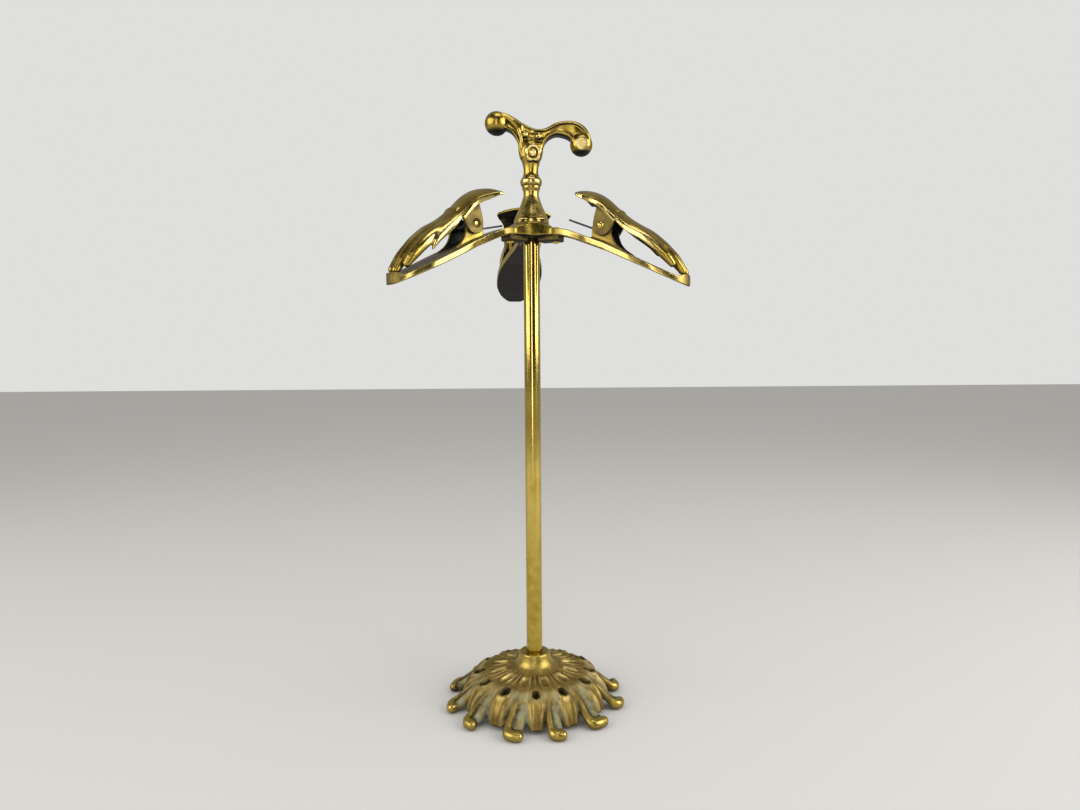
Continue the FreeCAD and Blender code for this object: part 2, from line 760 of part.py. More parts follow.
os.makedirs("parts", exist_ok=True)
for obj in sub_parts:
    obj.Shape.exportStep(f"parts/{obj.Label}.step")
    print(f"{obj.Label}: {len(obj.Shape.Solids)} solid, {obj.Shape.Volume:.0f} mm3")
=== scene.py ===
import json
import math

import bpy
import numpy as np
from mathutils import Matrix, Vector


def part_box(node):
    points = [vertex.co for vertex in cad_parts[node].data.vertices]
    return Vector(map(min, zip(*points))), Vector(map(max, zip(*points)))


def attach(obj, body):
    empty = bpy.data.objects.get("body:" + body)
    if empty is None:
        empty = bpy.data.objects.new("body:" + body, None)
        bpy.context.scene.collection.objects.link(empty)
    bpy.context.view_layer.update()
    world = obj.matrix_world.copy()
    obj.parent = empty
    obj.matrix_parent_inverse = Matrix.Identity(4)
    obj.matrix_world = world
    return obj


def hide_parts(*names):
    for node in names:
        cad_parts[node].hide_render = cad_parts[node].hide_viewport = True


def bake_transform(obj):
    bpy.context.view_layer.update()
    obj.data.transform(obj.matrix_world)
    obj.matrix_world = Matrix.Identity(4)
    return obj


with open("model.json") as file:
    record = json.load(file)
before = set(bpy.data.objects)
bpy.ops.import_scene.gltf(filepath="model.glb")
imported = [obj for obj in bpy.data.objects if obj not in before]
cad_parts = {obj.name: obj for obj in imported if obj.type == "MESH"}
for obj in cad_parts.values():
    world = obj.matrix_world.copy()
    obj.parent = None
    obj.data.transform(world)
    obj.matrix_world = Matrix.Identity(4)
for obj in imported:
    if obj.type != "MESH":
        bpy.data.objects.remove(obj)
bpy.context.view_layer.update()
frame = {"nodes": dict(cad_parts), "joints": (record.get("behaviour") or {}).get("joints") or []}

# Brass eyeglasses display stand. Shapes are worked out in millimetres as distance fields, meshed here and
# stored in metres in the CAD frame: +Z up, origin on the post's axis at table level, the viewer at -Y.
# A clip's shapes are worked out along +X with the thumb's side at +Y and then turned to their azimuth.

MM = 0.001
FINE = 1.0
BORE_GAP = 0.08


# ---- places from the frame


def node_box(node):
    """Lowest and highest corner of a CAD node, in millimetres."""
    low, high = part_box(node)
    return np.array(low) / MM, np.array(high) / MM


CLIPS = ("right", "back", "left")
HINGES = {side: next(j for j in frame["joints"] if j["name"] == f"{side}_hand_hinge") for side in CLIPS}
PIVOT_X = math.hypot(*HINGES["right"]["pos_m"][:2]) / MM
PIVOT_Z = HINGES["right"]["pos_m"][2] / MM
AZIMUTHS = {side: math.atan2(HINGES[side]["pos_m"][1], HINGES[side]["pos_m"][0]) for side in CLIPS}
POST_LOW, POST_HIGH = node_box("post")
POST_RADIUS = POST_HIGH[0]
HUB_LOW = POST_HIGH[2]
HUB_TOP = node_box("finial")[0][2]


# ---- distance fields


def length(*parts):
    return np.sqrt(sum(part * part for part in parts))


def smooth_min(a, b, reach):
    """The lower of two fields, rounded where they meet."""
    share = np.clip(0.5 + 0.5 * (b - a) / reach, 0.0, 1.0)
    return b + (a - b) * share - reach * share * (1.0 - share)


def smooth_max(a, b, reach):
    return -smooth_min(-a, -b, reach)


def ramp(value, start, end):
    """0 before start, 1 after end, and smooth between them."""
    share = np.clip((value - start) / (end - start), 0.0, 1.0)
    return share * share * (3.0 - 2.0 * share)


def bump(value, centre, width):
    return np.exp(-(((value - centre) / width) ** 2))


def rod(p, path, radii, squash=(1.0, 1.0, 1.0)):
    """Distance to a round rod of changing radius along a path. Squash above 1 thins it on that axis."""
    squash = np.array(squash, np.float32)
    path = np.array(path, np.float32) * squash
    q = p * squash
    nearest = None
    for start, end, first, last in zip(path, path[1:], radii, radii[1:]):
        way = end - start
        share = np.clip(((q - start) @ way) / max(float(way @ way), 1e-9), 0.0, 1.0)
        gap = q - start - share[:, None] * way
        distance = np.sqrt(np.einsum("ij,ij->i", gap, gap)) - (first + (last - first) * share)
        nearest = distance if nearest is None else np.minimum(nearest, distance)
    return nearest / float(squash.max())


def smooth_path(points, steps=5):
    """More points on a smooth curve through these, and with them any further columns such as radii."""
    points = np.array(points, float)
    before = np.vstack([2 * points[0] - points[1], points, 2 * points[-1] - points[-2]])
    curve = []
    for i in range(1, len(points)):
        a, b, c, d = before[i - 1], before[i], before[i + 1], before[i + 2]
        for k in range(steps):
            t = k / steps
            bend, twist = 2 * a - 5 * b + 4 * c - d, 3 * b - a - 3 * c + d
            curve.append(0.5 * (2 * b + (c - a) * t + bend * t**2 + twist * t**3))
    curve.append(points[-1])
    return np.array(curve)


def smooth_rod(p, stations, squash=(1.0, 1.0, 1.0), steps=4):
    """A rod through stations of x, y, z and radius."""
    curve = smooth_path(stations, steps)
    return rod(p, curve[:, :3], curve[:, 3], squash)


def plane_grid(low, high, step):
    return np.meshgrid(*[np.arange(a, b + step, step) for a, b in zip(low, high)], indexing="ij")


def from_segment(u, v, a, b):
    """Offsets of plane points from the nearest point of a segment, and how far along it that point is."""
    way = b - a
    share = np.clip(((u - a[0]) * way[0] + (v - a[1]) * way[1]) / max(way @ way, 1e-12), 0, 1)
    return u - a[0] - share * way[0], v - a[1] - share * way[1], share


def table_reader(table, low, step):
    """Reads a table of values on a plane grid, blended between its points."""
    table = table.astype(np.float32)

    def read(x, y):
        i = np.clip((x - low[0]) / step, 0, table.shape[0] - 1.001)
        j = np.clip((y - low[1]) / step, 0, table.shape[1] - 1.001)
        i0, j0 = i.astype(np.int32), j.astype(np.int32)
        fi, fj = i - i0, j - j0
        lower = table[i0, j0] * (1 - fi) + table[i0 + 1, j0] * fi
        upper = table[i0, j0 + 1] * (1 - fi) + table[i0 + 1, j0 + 1] * fi
        return lower * (1 - fj) + upper * fj

    return read


def outline_distance(points, low, high, step):
    """A lookup of signed distance to a closed outline in a plane, negative inside."""
    points = np.array(points, float)
    u, v = plane_grid(low, high, step)
    nearest = np.full(u.shape, 1e9)
    inside = np.zeros(u.shape, bool)
    for a, b in zip(points, np.roll(points, -1, axis=0)):
        away_u, away_v, _ = from_segment(u, v, a, b)
        nearest = np.minimum(nearest, np.hypot(away_u, away_v))
        if a[1] != b[1]:
            inside ^= ((a[1] > v) != (b[1] > v)) & (u < (b[0] - a[0]) * (v - a[1]) / (b[1] - a[1]) + a[0])
    return table_reader(np.where(inside, -nearest, nearest), low, step)


def waves(p, scale, seed):
    """Smooth seeded noise from a few crossed waves, between about -1 and 1."""
    rng = np.random.default_rng(seed)
    total = 0.0
    for _ in range(6):
        way = rng.normal(size=3)
        way *= rng.uniform(0.6, 1.5) / (np.linalg.norm(way) * scale)
        total = total + np.sin(p @ way.astype(np.float32) + rng.uniform(0, 6.28))
    return total / 3.0


# ---- meshing a field

CELL_CORNERS = [(i, j, k) for i in (0, 1) for j in (0, 1) for k in (0, 1)]
CELL_EDGES = [
    (a, b) for a in CELL_CORNERS for b in CELL_CORNERS if a < b and sum(x != y for x, y in zip(a, b)) == 1
]
BLOCK = 8
CHUNK = 512


def sample_field(field, low, step, blocks):
    """The field on a grid of blocks. Only blocks near the surface are worked out in full."""
    ranges = [np.arange(n) for n in blocks]
    index = np.stack(np.meshgrid(*ranges, indexing="ij"), -1).reshape(-1, 3)
    centres = (low + (index * BLOCK + (BLOCK - 1) / 2) * step).astype(np.float32)
    rough = field(centres)
    near = np.abs(rough) < BLOCK * step * 1.2
    values = np.empty(tuple(n * BLOCK for n in blocks), np.float32)
    view = values.reshape(blocks[0], BLOCK, blocks[1], BLOCK, blocks[2], BLOCK)
    view[...] = np.where(near, 0, rough).reshape(blocks)[:, None, :, None, :, None]
    offsets = np.stack(np.meshgrid(*[np.arange(BLOCK)] * 3, indexing="ij"), -1).reshape(-1, 3)
    wanted = index[near]
    for start in range(0, len(wanted), CHUNK):
        some = wanted[start : start + CHUNK]
        points = low + (some[:, None, :] * BLOCK + offsets[None]) * step
        found = field(points.reshape(-1, 3).astype(np.float32)).reshape(-1, BLOCK, BLOCK, BLOCK)
        view[some[:, 0], :, some[:, 1], :, some[:, 2], :] = found
    return values


def surface_net(values):
    """Vertices in grid units and quads of the surface where the values change sign."""
    inside = values < 0
    shape = np.array(values.shape) - 1
    count = np.zeros(shape, np.int8)
    for i, j, k in CELL_CORNERS:
        count += inside[i : shape[0] + i, j : shape[1] + j, k : shape[2] + k]
    cells = np.argwhere((count > 0) & (count < 8))
    position = np.zeros((len(cells), 3))
    crossings = np.zeros(len(cells))
    for a, b in CELL_EDGES:
        va = values[tuple((cells + a).T)]
        vb = values[tuple((cells + b).T)]
        crossed = (va < 0) != (vb < 0)
        t = np.where(crossed, va / np.where(crossed, va - vb, 1), 0)[:, None]
        position += np.where(crossed[:, None], np.array(a) + (np.array(b) - np.array(a)) * t, 0)
        crossings += crossed
    position = cells + position / crossings[:, None]
    number = np.full(shape, -1, np.int32)
    number[tuple(cells.T)] = np.arange(len(cells))
    quads = []
    for axis in range(3):
        u, v = [(1, 2), (2, 0), (0, 1)][axis]
        near, far = [slice(1, -1)] * 3, [slice(1, -1)] * 3
        near[axis], far[axis] = slice(0, -1), slice(1, None)
        first, second = inside[tuple(near)], inside[tuple(far)]
        at = np.argwhere(first != second)
        leaving = first[tuple(at.T)]
        at = at + 1
        at[:, axis] -= 1
        step_u, step_v = np.eye(3, dtype=int)[u], np.eye(3, dtype=int)[v]
        corners = [at - step_u - step_v, at - step_v, at, at - step_u]
        quad = np.stack([number[tuple(c.T)] for c in corners], 1)
        quads.append(np.where(leaving[:, None], quad, quad[:, ::-1]))
    return position, np.concatenate(quads)


def gradient(field, p, reach):
    """The field's slope at each point, as unit vectors, and the slope's size there."""
    slope = np.empty_like(p)
    for axis in range(3):
        shift = np.zeros(3, np.float32)
        shift[axis] = reach
        slope[:, axis] = field(p + shift) - field(p - shift)
    size = np.linalg.norm(slope, axis=1, keepdims=True)
    return slope / np.maximum(size, 1e-9), size[:, 0] / (2 * reach)


def neighbour_mean(points, quads):
    """The mean of each vertex's neighbours."""
    total, count = np.zeros_like(points), np.zeros(len(points))
    for a, b in ((0, 1), (1, 2), (2, 3), (3, 0)):
        for start, end in ((quads[:, a], quads[:, b]), (quads[:, b], quads[:, a])):
            for axis in range(3):
                total[:, axis] += np.bincount(start, points[end, axis], len(points))
            count += np.bincount(start, minlength=len(points))
    return total / np.maximum(count, 1)[:, None]


def mesh_field(field, low, high, step):
    """Points, quads and a hollowness value for each point, all in millimetres."""
    step = step * FINE
    low = np.array(low, float) - 2.5 * step
    blocks = tuple(int(n) for n in np.ceil((np.array(high) + 2.5 * step - low) / (step * BLOCK)))
    values = sample_field(field, low, step, blocks)
    grid_points, quads = surface_net(values)
    p = (low + grid_points * step).astype(np.float32)
    for smoothing in (0.5, 0.5, 0.0):
        normal, steepness = gradient(field, p, step * 0.35)
        if smoothing:
            drift = (neighbour_mean(p, quads) - p) * smoothing
            drift -= normal * np.einsum("ij,ij->i", drift, normal)[:, None]
            p = (p + drift).astype(np.float32)
        off = field(p) / np.maximum(steepness, 0.3)
        p = (p - normal * np.clip(off, -step, step)[:, None]).astype(np.float32)
    normal, _ = gradient(field, p, step * 0.5)
    hollow = np.zeros(len(p))
    for reach, share in ((0.35, 0.35), (0.8, 0.35), (1.8, 0.3)):
        hollow += share * np.clip(1.0 - field(p + normal * np.float32(reach)) / reach, -1, 1)
    return p, quads, hollow


# ---- the base

PITCH = 2 * math.pi / 12
HOLE_REACH = 27.8
# Middle line of a leg: outwards, round the stand, upwards and radius.
LEG_STATIONS = (
    (20.5, -0.2, 14.6, 0.6), (25, -0.9, 13.8, 1.1), (30, -1.9, 11.6, 1.4), (35, -2.6, 7.8, 1.6),
    (39, -2.9, 4.3, 1.9), (41.6, -2.4, 2.7, 2.5), (42.9, -0.4, 2.45, 2.5), (43.1, 2.2, 2.35, 2.35),
)
WEB_STATIONS = (
    (28, 1, 10.4, 1.8), (33, 1.2, 7.6, 2.3), (37.5, 1.2, 4.2, 2.3), (40.6, 1.2, 2.3, 1.9),
)
SKIRT = (
    (7, 25.5), (7.6, 25), (8, 23.4), (8.8, 21.2), (10.2, 19.2), (12.6, 17.8), (16, 17), (20, 16.2),
    (24, 15.9), (28, 15.4), (31, 14.2), (34, 11.6), (36.2, 7.8), (37.2, 4.2), (37.5, 1.2), (37.5, -5),
)
CAVITY = (
    (35.6, -8), (35.2, 1), (34.4, 4.8), (32.4, 8), (29, 10.4), (24, 12), (16, 13.2), (9.5, 13.6),
    (7.2, 12.6), (6.6, 9), (0, 9), (0, -8),
)


def fold(turn, offset):
    """An angle from the nearest of twelve evenly spaced directions."""
    return np.mod(turn - offset + PITCH / 2, PITCH) - PITCH / 2


def base_places(p):
    """Where points lie in the pattern of lobes and legs."""
    x, y, z = p.T
    r, turn = length(x, y), np.arctan2(y, x)
    turn = turn + 0.03 * np.sin(5 * turn + 0.7) * ramp(r, 12, 30)
    lobe_turn, leg_turn = fold(turn, 0), fold(turn, PITCH / 2)
    v = r * lobe_turn
    half_width = 2.2 + 2.1 * ramp(r, 27, 32.5) - 0.9 * ramp(r, 34.5, 38)
    edge = np.abs(v) - half_width
    leg_points = np.stack([r * np.cos(leg_turn), r * np.sin(leg_turn), z], 1)
    return r, z, lobe_turn, leg_turn, v, edge, leg_points


def make_base_field():
    cup = [(0, 24.3), (5, 24.3), (6.2, 25.2)]
    skirt = [tuple(point) for point in smooth_path(SKIRT, 6)] + [(0, -5)]
    outer = outline_distance(cup + skirt, (0, -4), (50, 30), 0.2)
    roof = smooth_path(CAVITY[:-2], 4).tolist() + list(CAVITY[-2:])
    cavity = outline_distance(roof, (0, -4), (50, 30), 0.2)

    def field(p):
        r, z, lobe_turn, leg_turn, v, edge, leg_points = base_places(p)
        hole = length((r - HOLE_REACH) / 2.7, v / 1.95)
        stream = np.degrees(np.abs(lobe_turn)) * (1 - 0.9 / np.maximum(hole, 1) ** 2)
        rough = waves(p, 3, 5)

        # Ribs flow down from the neck and part round the holes.
        spread = ramp(r, 9.5, 14) * (1 - ramp(r, 28, 34))
        ribs = 0.75 * bump(stream, 0, 2) * (1 - ramp(r, 22, 25)) + 0.7 * bump(stream, 7.6, 2.4)
        cell = length((r - 18.6) / 3.7, (r * np.abs(leg_turn)) / 1.9)
        ribs = ribs - 0.7 * (1 - ramp(cell, 0.7, 1.15)) + 0.25 * bump(cell, 1.3, 0.22)
        ribs = ribs + 0.5 * bump(hole, 1.5, 0.35) * ramp(r, 21, 25)
        veins = 0.13 * np.cos(stream * 1.9 + 1.2 * rough) * ramp(r, 11, 16) * ramp(cell, 0.8, 1.2)
        # Each lobe is a puffed shell with a dished middle. The ground beside it lies lower.
        shell = 1 - ramp(edge, -2, 1.4)
        dish = ramp(-edge, 1, 3.8) * ramp(r, 30.4, 33.4)
        outside = ramp(r, 25.5, 31.5)
        lobes = outside * (2.1 * shell - 2.1 - 0.8 * dish)
        pleats = 0.05 * np.cos(v * 1.3 + 1.6 * rough) * dish
        raised = spread * ribs + veins * (1 - 0.6 * outside) + lobes + pleats + 0.12 * rough

        body = smooth_max(outer(r, z) - raised, -cavity(r, z), 0.4)
        side = np.clip(np.abs(v) / 5.2, 0, 1)
        body = smooth_max(body, (1.6 + 3.4 * side**3) - z, 1.2)
        leg = smooth_rod(leg_points, LEG_STATIONS, steps=3)
        leg = leg - 0.14 * np.cos(2.2 * (leg_points[:, 1] + 2)) * (1 - ramp(r, 34, 39)) - 0.06 * rough
        web = rod(leg_points, [s[:3] for s in WEB_STATIONS], [s[3] for s in WEB_STATIONS])
        both = smooth_min(smooth_min(body, web, 1.8), leg, 1.8)
        both = smooth_max(both, (1 - hole) * 2, 0.4)
        both = np.maximum(both, 2.55 - r)
        both = np.where(z > 12, np.maximum(both, POST_RADIUS + BORE_GAP - r), both)
        return smooth_max(both, -z, 0.3)

    return field


def base_marks(p):
    """How far hands and cloths have kept each point bright, and how much it lies in the green ground."""
    r, z, *_, edge, leg_points = base_places(p)
    leg = smooth_rod(leg_points, LEG_STATIONS, steps=3)
    knob = ramp(r, 39, 42) * ramp(z, 1.5, 3.5)
    neck = ramp(z, 18.5, 21) * (1 - ramp(z, 24.9, 25.4) * (1 - ramp(r, 5.5, 6.8)))
    ground = ramp(edge, -1, 0.6) * ramp(leg, 0.1, 1.2) * ramp(r, 25, 30)
    return np.clip(knob + 0.8 * neck, 0, 1), ground


# ---- the finial

# Centre across and up, and radius.
LEFT_BALL = (-16.4, 286.6, 5.7)
RIGHT_BALL = (24.4, 276.3, 5.4)
FLOWER = (1.1, 271.6)
STEM = (
    (8, 238.35), (8.45, 238.8), (8.45, 240.2), (7.9, 241.6), (7.25, 243.2), (5.6, 246.9), (4.3, 250.4),
    (3.75, 252.4), (3.8, 254.2), (4.35, 255.6), (4.45, 256.7), (4.9, 257.2), (5.25, 258.3), (5.2, 259.5),
    (4.6, 260.5), (4, 261.4), (3.55, 263.2), (3.6, 265.2), (4.2, 267.8), (5.2, 270.6), (5.5, 273),
    (5, 275.6), (3.6, 277.6), (2, 278.6),
)
# Outline of the two scrolls seen from the front, clockwise from the foot of the left one.
SCROLLS = (
    (-4.6, 270), (-5.7, 273.3), (-6.2, 277.2), (-7.8, 280.4), (-9.9, 282.5), (-12.6, 283.6), (-16, 284.6),
    (-18.4, 287.2), (-17.4, 289.6), (-14, 291), (-10.8, 290.5), (-7, 288.5), (-2.6, 285.6), (1.4, 283.8),
    (4.6, 283.4), (7.7, 284.1), (11.7, 286.1), (15.3, 287), (18.9, 287.2), (22.4, 286.6), (26, 284.4),
    (28.3, 281), (28.9, 277.5), (26.6, 275), (22.4, 274.9), (20.2, 277), (17.6, 279.3), (13, 280.5),
    (9.9, 279.7), (7.7, 278), (6.2, 275.6), (5.4, 272.5), (4.6, 270),
)
CREST = ((-14.6, 288.6), (-12, 288.6), (-8.6, 286.5), (-6.1, 283), (-4.7, 279.2), (-4.2, 274.6))
# Small shells in the crotch of the scrolls: across, up and radius.
SHELLS = ((-3, 280.6, 2), (4, 279.8, 1.9), (0.7, 282, 1.4))
SCROLL_HALF, BALL_FLAT = 3.5, 4.6


def make_finial_field():
    stem_outline = [(0, STEM[0][1])] + smooth_path(STEM, 5).tolist() + [(0, STEM[-1][1] + 0.6)]
    stem = outline_distance(stem_outline, (0, 236), (12, 284), 0.1)
    scrolls = outline_distance(smooth_path(SCROLLS, 4), (-26, 266), (33, 294), 0.15)

    def field(p):
        x, y, z = p.T
        r, depth = length(x, y), np.abs(y)
        flat = scrolls(x, z)
        # The left scroll slopes back above its crest. Both scrolls are sunk below and behind a bright rim.
        in_plane = np.stack([x, np.zeros_like(x), z], 1)
        crest = rod(in_plane, [(a, 0, b) for a, b in CREST], [0] * len(CREST))
        above = (x - CREST[2][0]) * 0.66 + (z - CREST[2][1]) * 0.75
        on_left, on_right = 1 - ramp(x, -4.5, -2.5), ramp(x, 4, 7)
        thickness = SCROLL_HALF - on_left * ramp(above, 0.3, 6) * 1.8
        sunk = on_left * ramp(-above, 0.9, 1.8) * ramp(-flat, 0.5, 1.3) + on_right * ramp(-flat, 1.1, 2)
        sunk = sunk + (1 - on_left) * (1 - on_right) * ramp(-flat, 0.7, 1.5) * ramp(z, 275.5, 277.5)
        thickness = thickness - (1.15 - 0.10 * waves(p, 0.9, 11)) * sunk
        reach = 1.5
        side, face = flat + reach, depth - thickness + reach
        plate = length(np.maximum(side, 0), np.maximum(face, 0)) - reach
        plate = plate + np.minimum(np.maximum(side, face), 0)
        ridge = length(crest, depth - SCROLL_HALF + 0.2) - 0.75
        plate = smooth_min(plate, np.where(on_left > 0.02, ridge, 9), 0.7)
        for centre in (LEFT_BALL, RIGHT_BALL):
            ball = length(x - centre[0], y, z - centre[1]) - centre[2]
            plate = smooth_min(plate, ball, 0.6)
        # Rubbing has left the right ball flat in front and behind.
        worn = length(x - RIGHT_BALL[0], z - RIGHT_BALL[1]) < RIGHT_BALL[2] + 0.5
        plate = np.where(worn, smooth_max(plate, depth - BALL_FLAT, 0.3), plate)
        whole = smooth_min(plate, stem(r, z), 1.4)

        # A five-petalled flower stands on each face, round a ring and a small boss.
        fx, fz = x - FLOWER[0], (z - FLOWER[1]) / 1.1
        out = length(fx, fz)
        around = np.arctan2(fz, fx) * 5 - math.pi / 2
        petal = out - (3.95 + 0.42 * np.cos(around))
        crown = 6.5 - 1.3 * bump(out, 1.95, 0.55) - 0.05 * out**2
        crown = crown - 0.3 * (1 - ramp(np.cos(around), -1, -0.8)) * ramp(out, 2.3, 3.2)
        flower = smooth_max(petal, depth - crown, 0.7)
        flower = np.maximum(flower, 3 - depth)
        whole = smooth_min(whole, flower, 0.3)
        for across, up, radius in SHELLS:
            from_middle = length(x - across, z - up)
            grooves = 0.14 * np.cos(from_middle * 5 + np.arctan2(z - up, x - across))
            shell = length(from_middle, (depth - 2.5) * 1.1) - radius + 0.2
            shell = shell + grooves * ramp(from_middle, 0.1, 0.6)
            whole = smooth_min(whole, shell, 0.4)
        whole = whole - 0.03 * waves(p, 2, 3)
        bore = np.maximum(r - 2.1, z - 253)
        return np.maximum(np.maximum(whole, -bore), HUB_TOP - z)

    return field


def finial_marks(p):
    """Where the finial is rubbed bright, and where it is worn pale: the flower and the ball's flats."""
    x, y, z = p.T
    depth = np.abs(y)
    around = np.hypot(x - FLOWER[0], z - FLOWER[1])
    flower = (1 - ramp(around, 3.8, 4.8)) * ramp(depth, 5.3, 6)
    from_ball = np.hypot(x - RIGHT_BALL[0], z - RIGHT_BALL[1])
    flat = (1 - ramp(from_ball, 2.6, 3.6)) * ramp(depth, 4.2, 4.5)
    bead = bump(z, 258.9, 1.8)
    curls = bump(z, 280.6, 1.8) * bump(x, 0.8, 5) * ramp(depth, 3.2, 3.7)
    bell = 0.4 * (1 - ramp(z, 248, 258))
    return np.clip(0.6 * bead + curls + bell, 0, 1), np.clip(flower + flat, 0, 1)


# ---- the hub, the arms and their rivets

RING = (
    (8.2, 232.2), (9.3, 232.4), (9.65, 233.2), (9.7, 235), (9.65, 236.6), (9.2, 237.7), (8.2, 238.3),
    (6, 238.3),
)
TONGUE_THICK = 2.6
TONGUE_HALF = 4.1
TONGUE_REACH = 15.6
ROOT_START = 9.75
RIVET_X = 12.7


def box_distance(places, low, high, rounding):
    parts = [np.abs(v - (a + b) / 2) - (b - a) / 2 + rounding for v, a, b in zip(places, low, high)]
    outside = length(*[np.maximum(part, 0) for part in parts])
    return outside + np.minimum(np.maximum.reduce(parts), 0) - rounding


def make_hub_field():
    ring_outline = [(0, RING[0][1])] + smooth_path(RING, 4).tolist() + [(0, HUB_TOP - 0.05)]
    ring = outline_distance(ring_outline, (0, 226), (20, 242), 0.1)

    def field(p):
        x, y, z = p.T
        r = length(x, y)
        whole = ring(r, z)
        for side in CLIPS:
            cos, sin = math.cos(AZIMUTHS[side]), math.sin(AZIMUTHS[side])
            along, across = x * cos + y * sin, -x * sin + y * cos
            # A shoulder narrows from the ring to the arm's root and thins out along it.
            reach = 4.7 + 4.2 * (1 - ramp(along, 3, 14))
            cover = smooth_max(np.abs(across) - reach, z - 238 + np.maximum(along - 7.5, 0) * 0.38, 1.2)
            cover = smooth_max(cover, np.maximum(232.3 - z, along - 14.2), 0.8)
            cover = np.maximum(cover, -along)
            whole = smooth_min(whole, cover, 1.6)
            low = (4.6, -TONGUE_HALF, HUB_LOW + 0.05 - TONGUE_THICK)
            high = (TONGUE_REACH, TONGUE_HALF, HUB_LOW + 0.6)
            tongue = box_distance((along, across, z), low, high, 0.8)
            whole = smooth_min(whole, tongue, 0.8)
        whole = np.maximum(whole, 2.06 - r)
        inside_post = np.maximum(r - 4.05, z - HUB_LOW - 0.05)
        return np.maximum(whole - 0.04 * waves(p, 2, 21), -inside_post)

    return field


# Past its knee an arm's top drops by this much per millimetre.
ARM_KNEE, ARM_FALL = 38.3, 0.47
# Side outline of an arm, from its root round the underside, the lip and the top.
ARM_SIDE = (
    (ROOT_START - 1.6, 232.2), (15.8, 232.2), (20, 231), (28.5, 227.7), (38.3, 223.9), (57, 215.1),
    (76.3, 206), (77.1, 206.4), (77.3, 207.5), (77.2, 210.6), (76.7, 211.2), (75.4, 211.2), (73.6, 210.4),
    (71, 211.3), (57.8, 217.6), (39, 226.8), (28.5, 231.1), (20, 234.4), (15.6, 235.4),
    (ROOT_START - 1.6, 235.5),
)
ARM_PLAN = (
    (4, 4.5), (16.5, 4.5), (21, 4.9), (26, 6.1), (30, 7.5), (36, 9.2), (42, 10.9), (48, 12), (54, 12.2),
    (61, 11.8), (66, 10.4), (70, 8.8), (73.6, 6.4), (76.2, 3.8), (77.4, 1.4), (77.5, 0),
)
EAR_SIDE = (
    (33.2, 226), (33.2, 233.2), (34.2, 236.4), (36.4, 238.2), (38.6, 238.4), (40.6, 237.4), (41.9, 234.4),
    (42.4, 231), (43.6, 227.6), (45.8, 224.8), (49.2, 221.8), (46, 220.5), (38, 224.2),
)
EAR_INSIDE, EAR_OUTSIDE = 5.8, 7.4
PIN_RADIUS = 1.2


def make_arm_field():
    side = outline_distance(ARM_SIDE, (0, 200), (82, 245), 0.12)
    upper = smooth_path(ARM_PLAN, 5).tolist()
    plan = outline_distance(upper + [(a, -b) for a, b in reversed(upper)], (0, -16), (82, 16), 0.15)
    ear_outline = outline_distance(smooth_path(EAR_SIDE + EAR_SIDE[:1], 3)[:-1], (25, 210), (60, 245), 0.12)

    def field(p):
        x, y, z = p.T
        r, depth = length(x, y), np.abs(y)
        # The top is a little dished between its edges.
        top = z > 225.3 - (x - ARM_KNEE) * 0.49
        dished = 0.35 * (1 - ramp(depth, 0, 8)) * ramp(x, 44, 54) * (1 - ramp(x, 66, 70))
        plate = smooth_max(side(x, z + np.where(top, dished, 0)), plan(x, y), 0.45)
        plate = smooth_max(plate, ROOT_START + 0.03 - r, 0.3)
        ear = smooth_max(ear_outline(x, z), np.abs(depth - (EAR_INSIDE + EAR_OUTSIDE) / 2) - 0.8, 0.35)
        ear = np.maximum(ear, (225 - (x - ARM_KNEE) * ARM_FALL - z) * 0.9)
        whole = smooth_min(plate, ear, 1.2)
        pin = length(x - PIVOT_X, z - PIVOT_Z) - PIN_RADIUS - BORE_GAP
        whole = np.maximum(whole, -pin)
        whole = np.maximum(whole, 1.38 - length(x - RIVET_X, y))
        return whole - 0.012 * waves(p, 2.4, 31)

    return field


def arm_painted_light(p, normals):
    """Painted light on an arm: black painted shade beneath and inside its ears, brown painted shade on its
    top under the hand, its ends, root and ears, and a painted sheen on its sides.
    """
    x, y, z = p.T
    # Painted shade: faces turned down, and the ears' inward faces, are made black.
    inward = ramp(-normals[:, 1] * np.sign(y), 0.3, 0.7) * (1 - ramp(np.abs(y), 7.4, 8.2)) * ramp(x, 30, 33)
    under = np.maximum(ramp(-normals[:, 2], 0.35, 0.7), inward * ramp(z, 222, 226))
    # Painted shade in brown: the top in the hand's shadow, the end, the root and the ears.
    top = ramp(normals[:, 2], 0.5, 0.8) * ramp(x, 24, 40) * (1 - ramp(x, 73, 75))
    end = ramp(normals[:, 0], 0.6, 0.85) * ramp(x, 70, 73)
    root = 1 - ramp(x, 13, 20)
    # Painted sheen: faces turned sideways are made bright, but not on the root, the inward faces or the
    # ears.
    sides = ramp(np.abs(normals[:, 1]), 0.6, 0.85) * (1 - inward) * (1 - root)
    drop = (x - ARM_KNEE) * ARM_FALL
    sides = sides * (1 - ramp(z, 227 - drop, 228.5 - drop) * ramp(x, 30, 33))
    ear = ramp(z, 228 - drop, 230 - drop) * ramp(x, 31, 33)
    return under, np.clip(top * 0.95 + end * 0.9 + root * 0.45 + ear * 0.5, 0, 1), sides * 0.45


# ---- the hands

CROWN = (
    (21, 250.1), (24.5, 251.3), (29, 251.9), (34, 250.8), (39, 247.9), (44.3, 243), (48.8, 239.1),
    (52, 236.7), (56, 234.1), (60.7, 231), (65.5, 227), (70.2, 222.4), (73.9, 218), (76.2, 214.4),
    (77.6, 211), (78.6, 208),
)
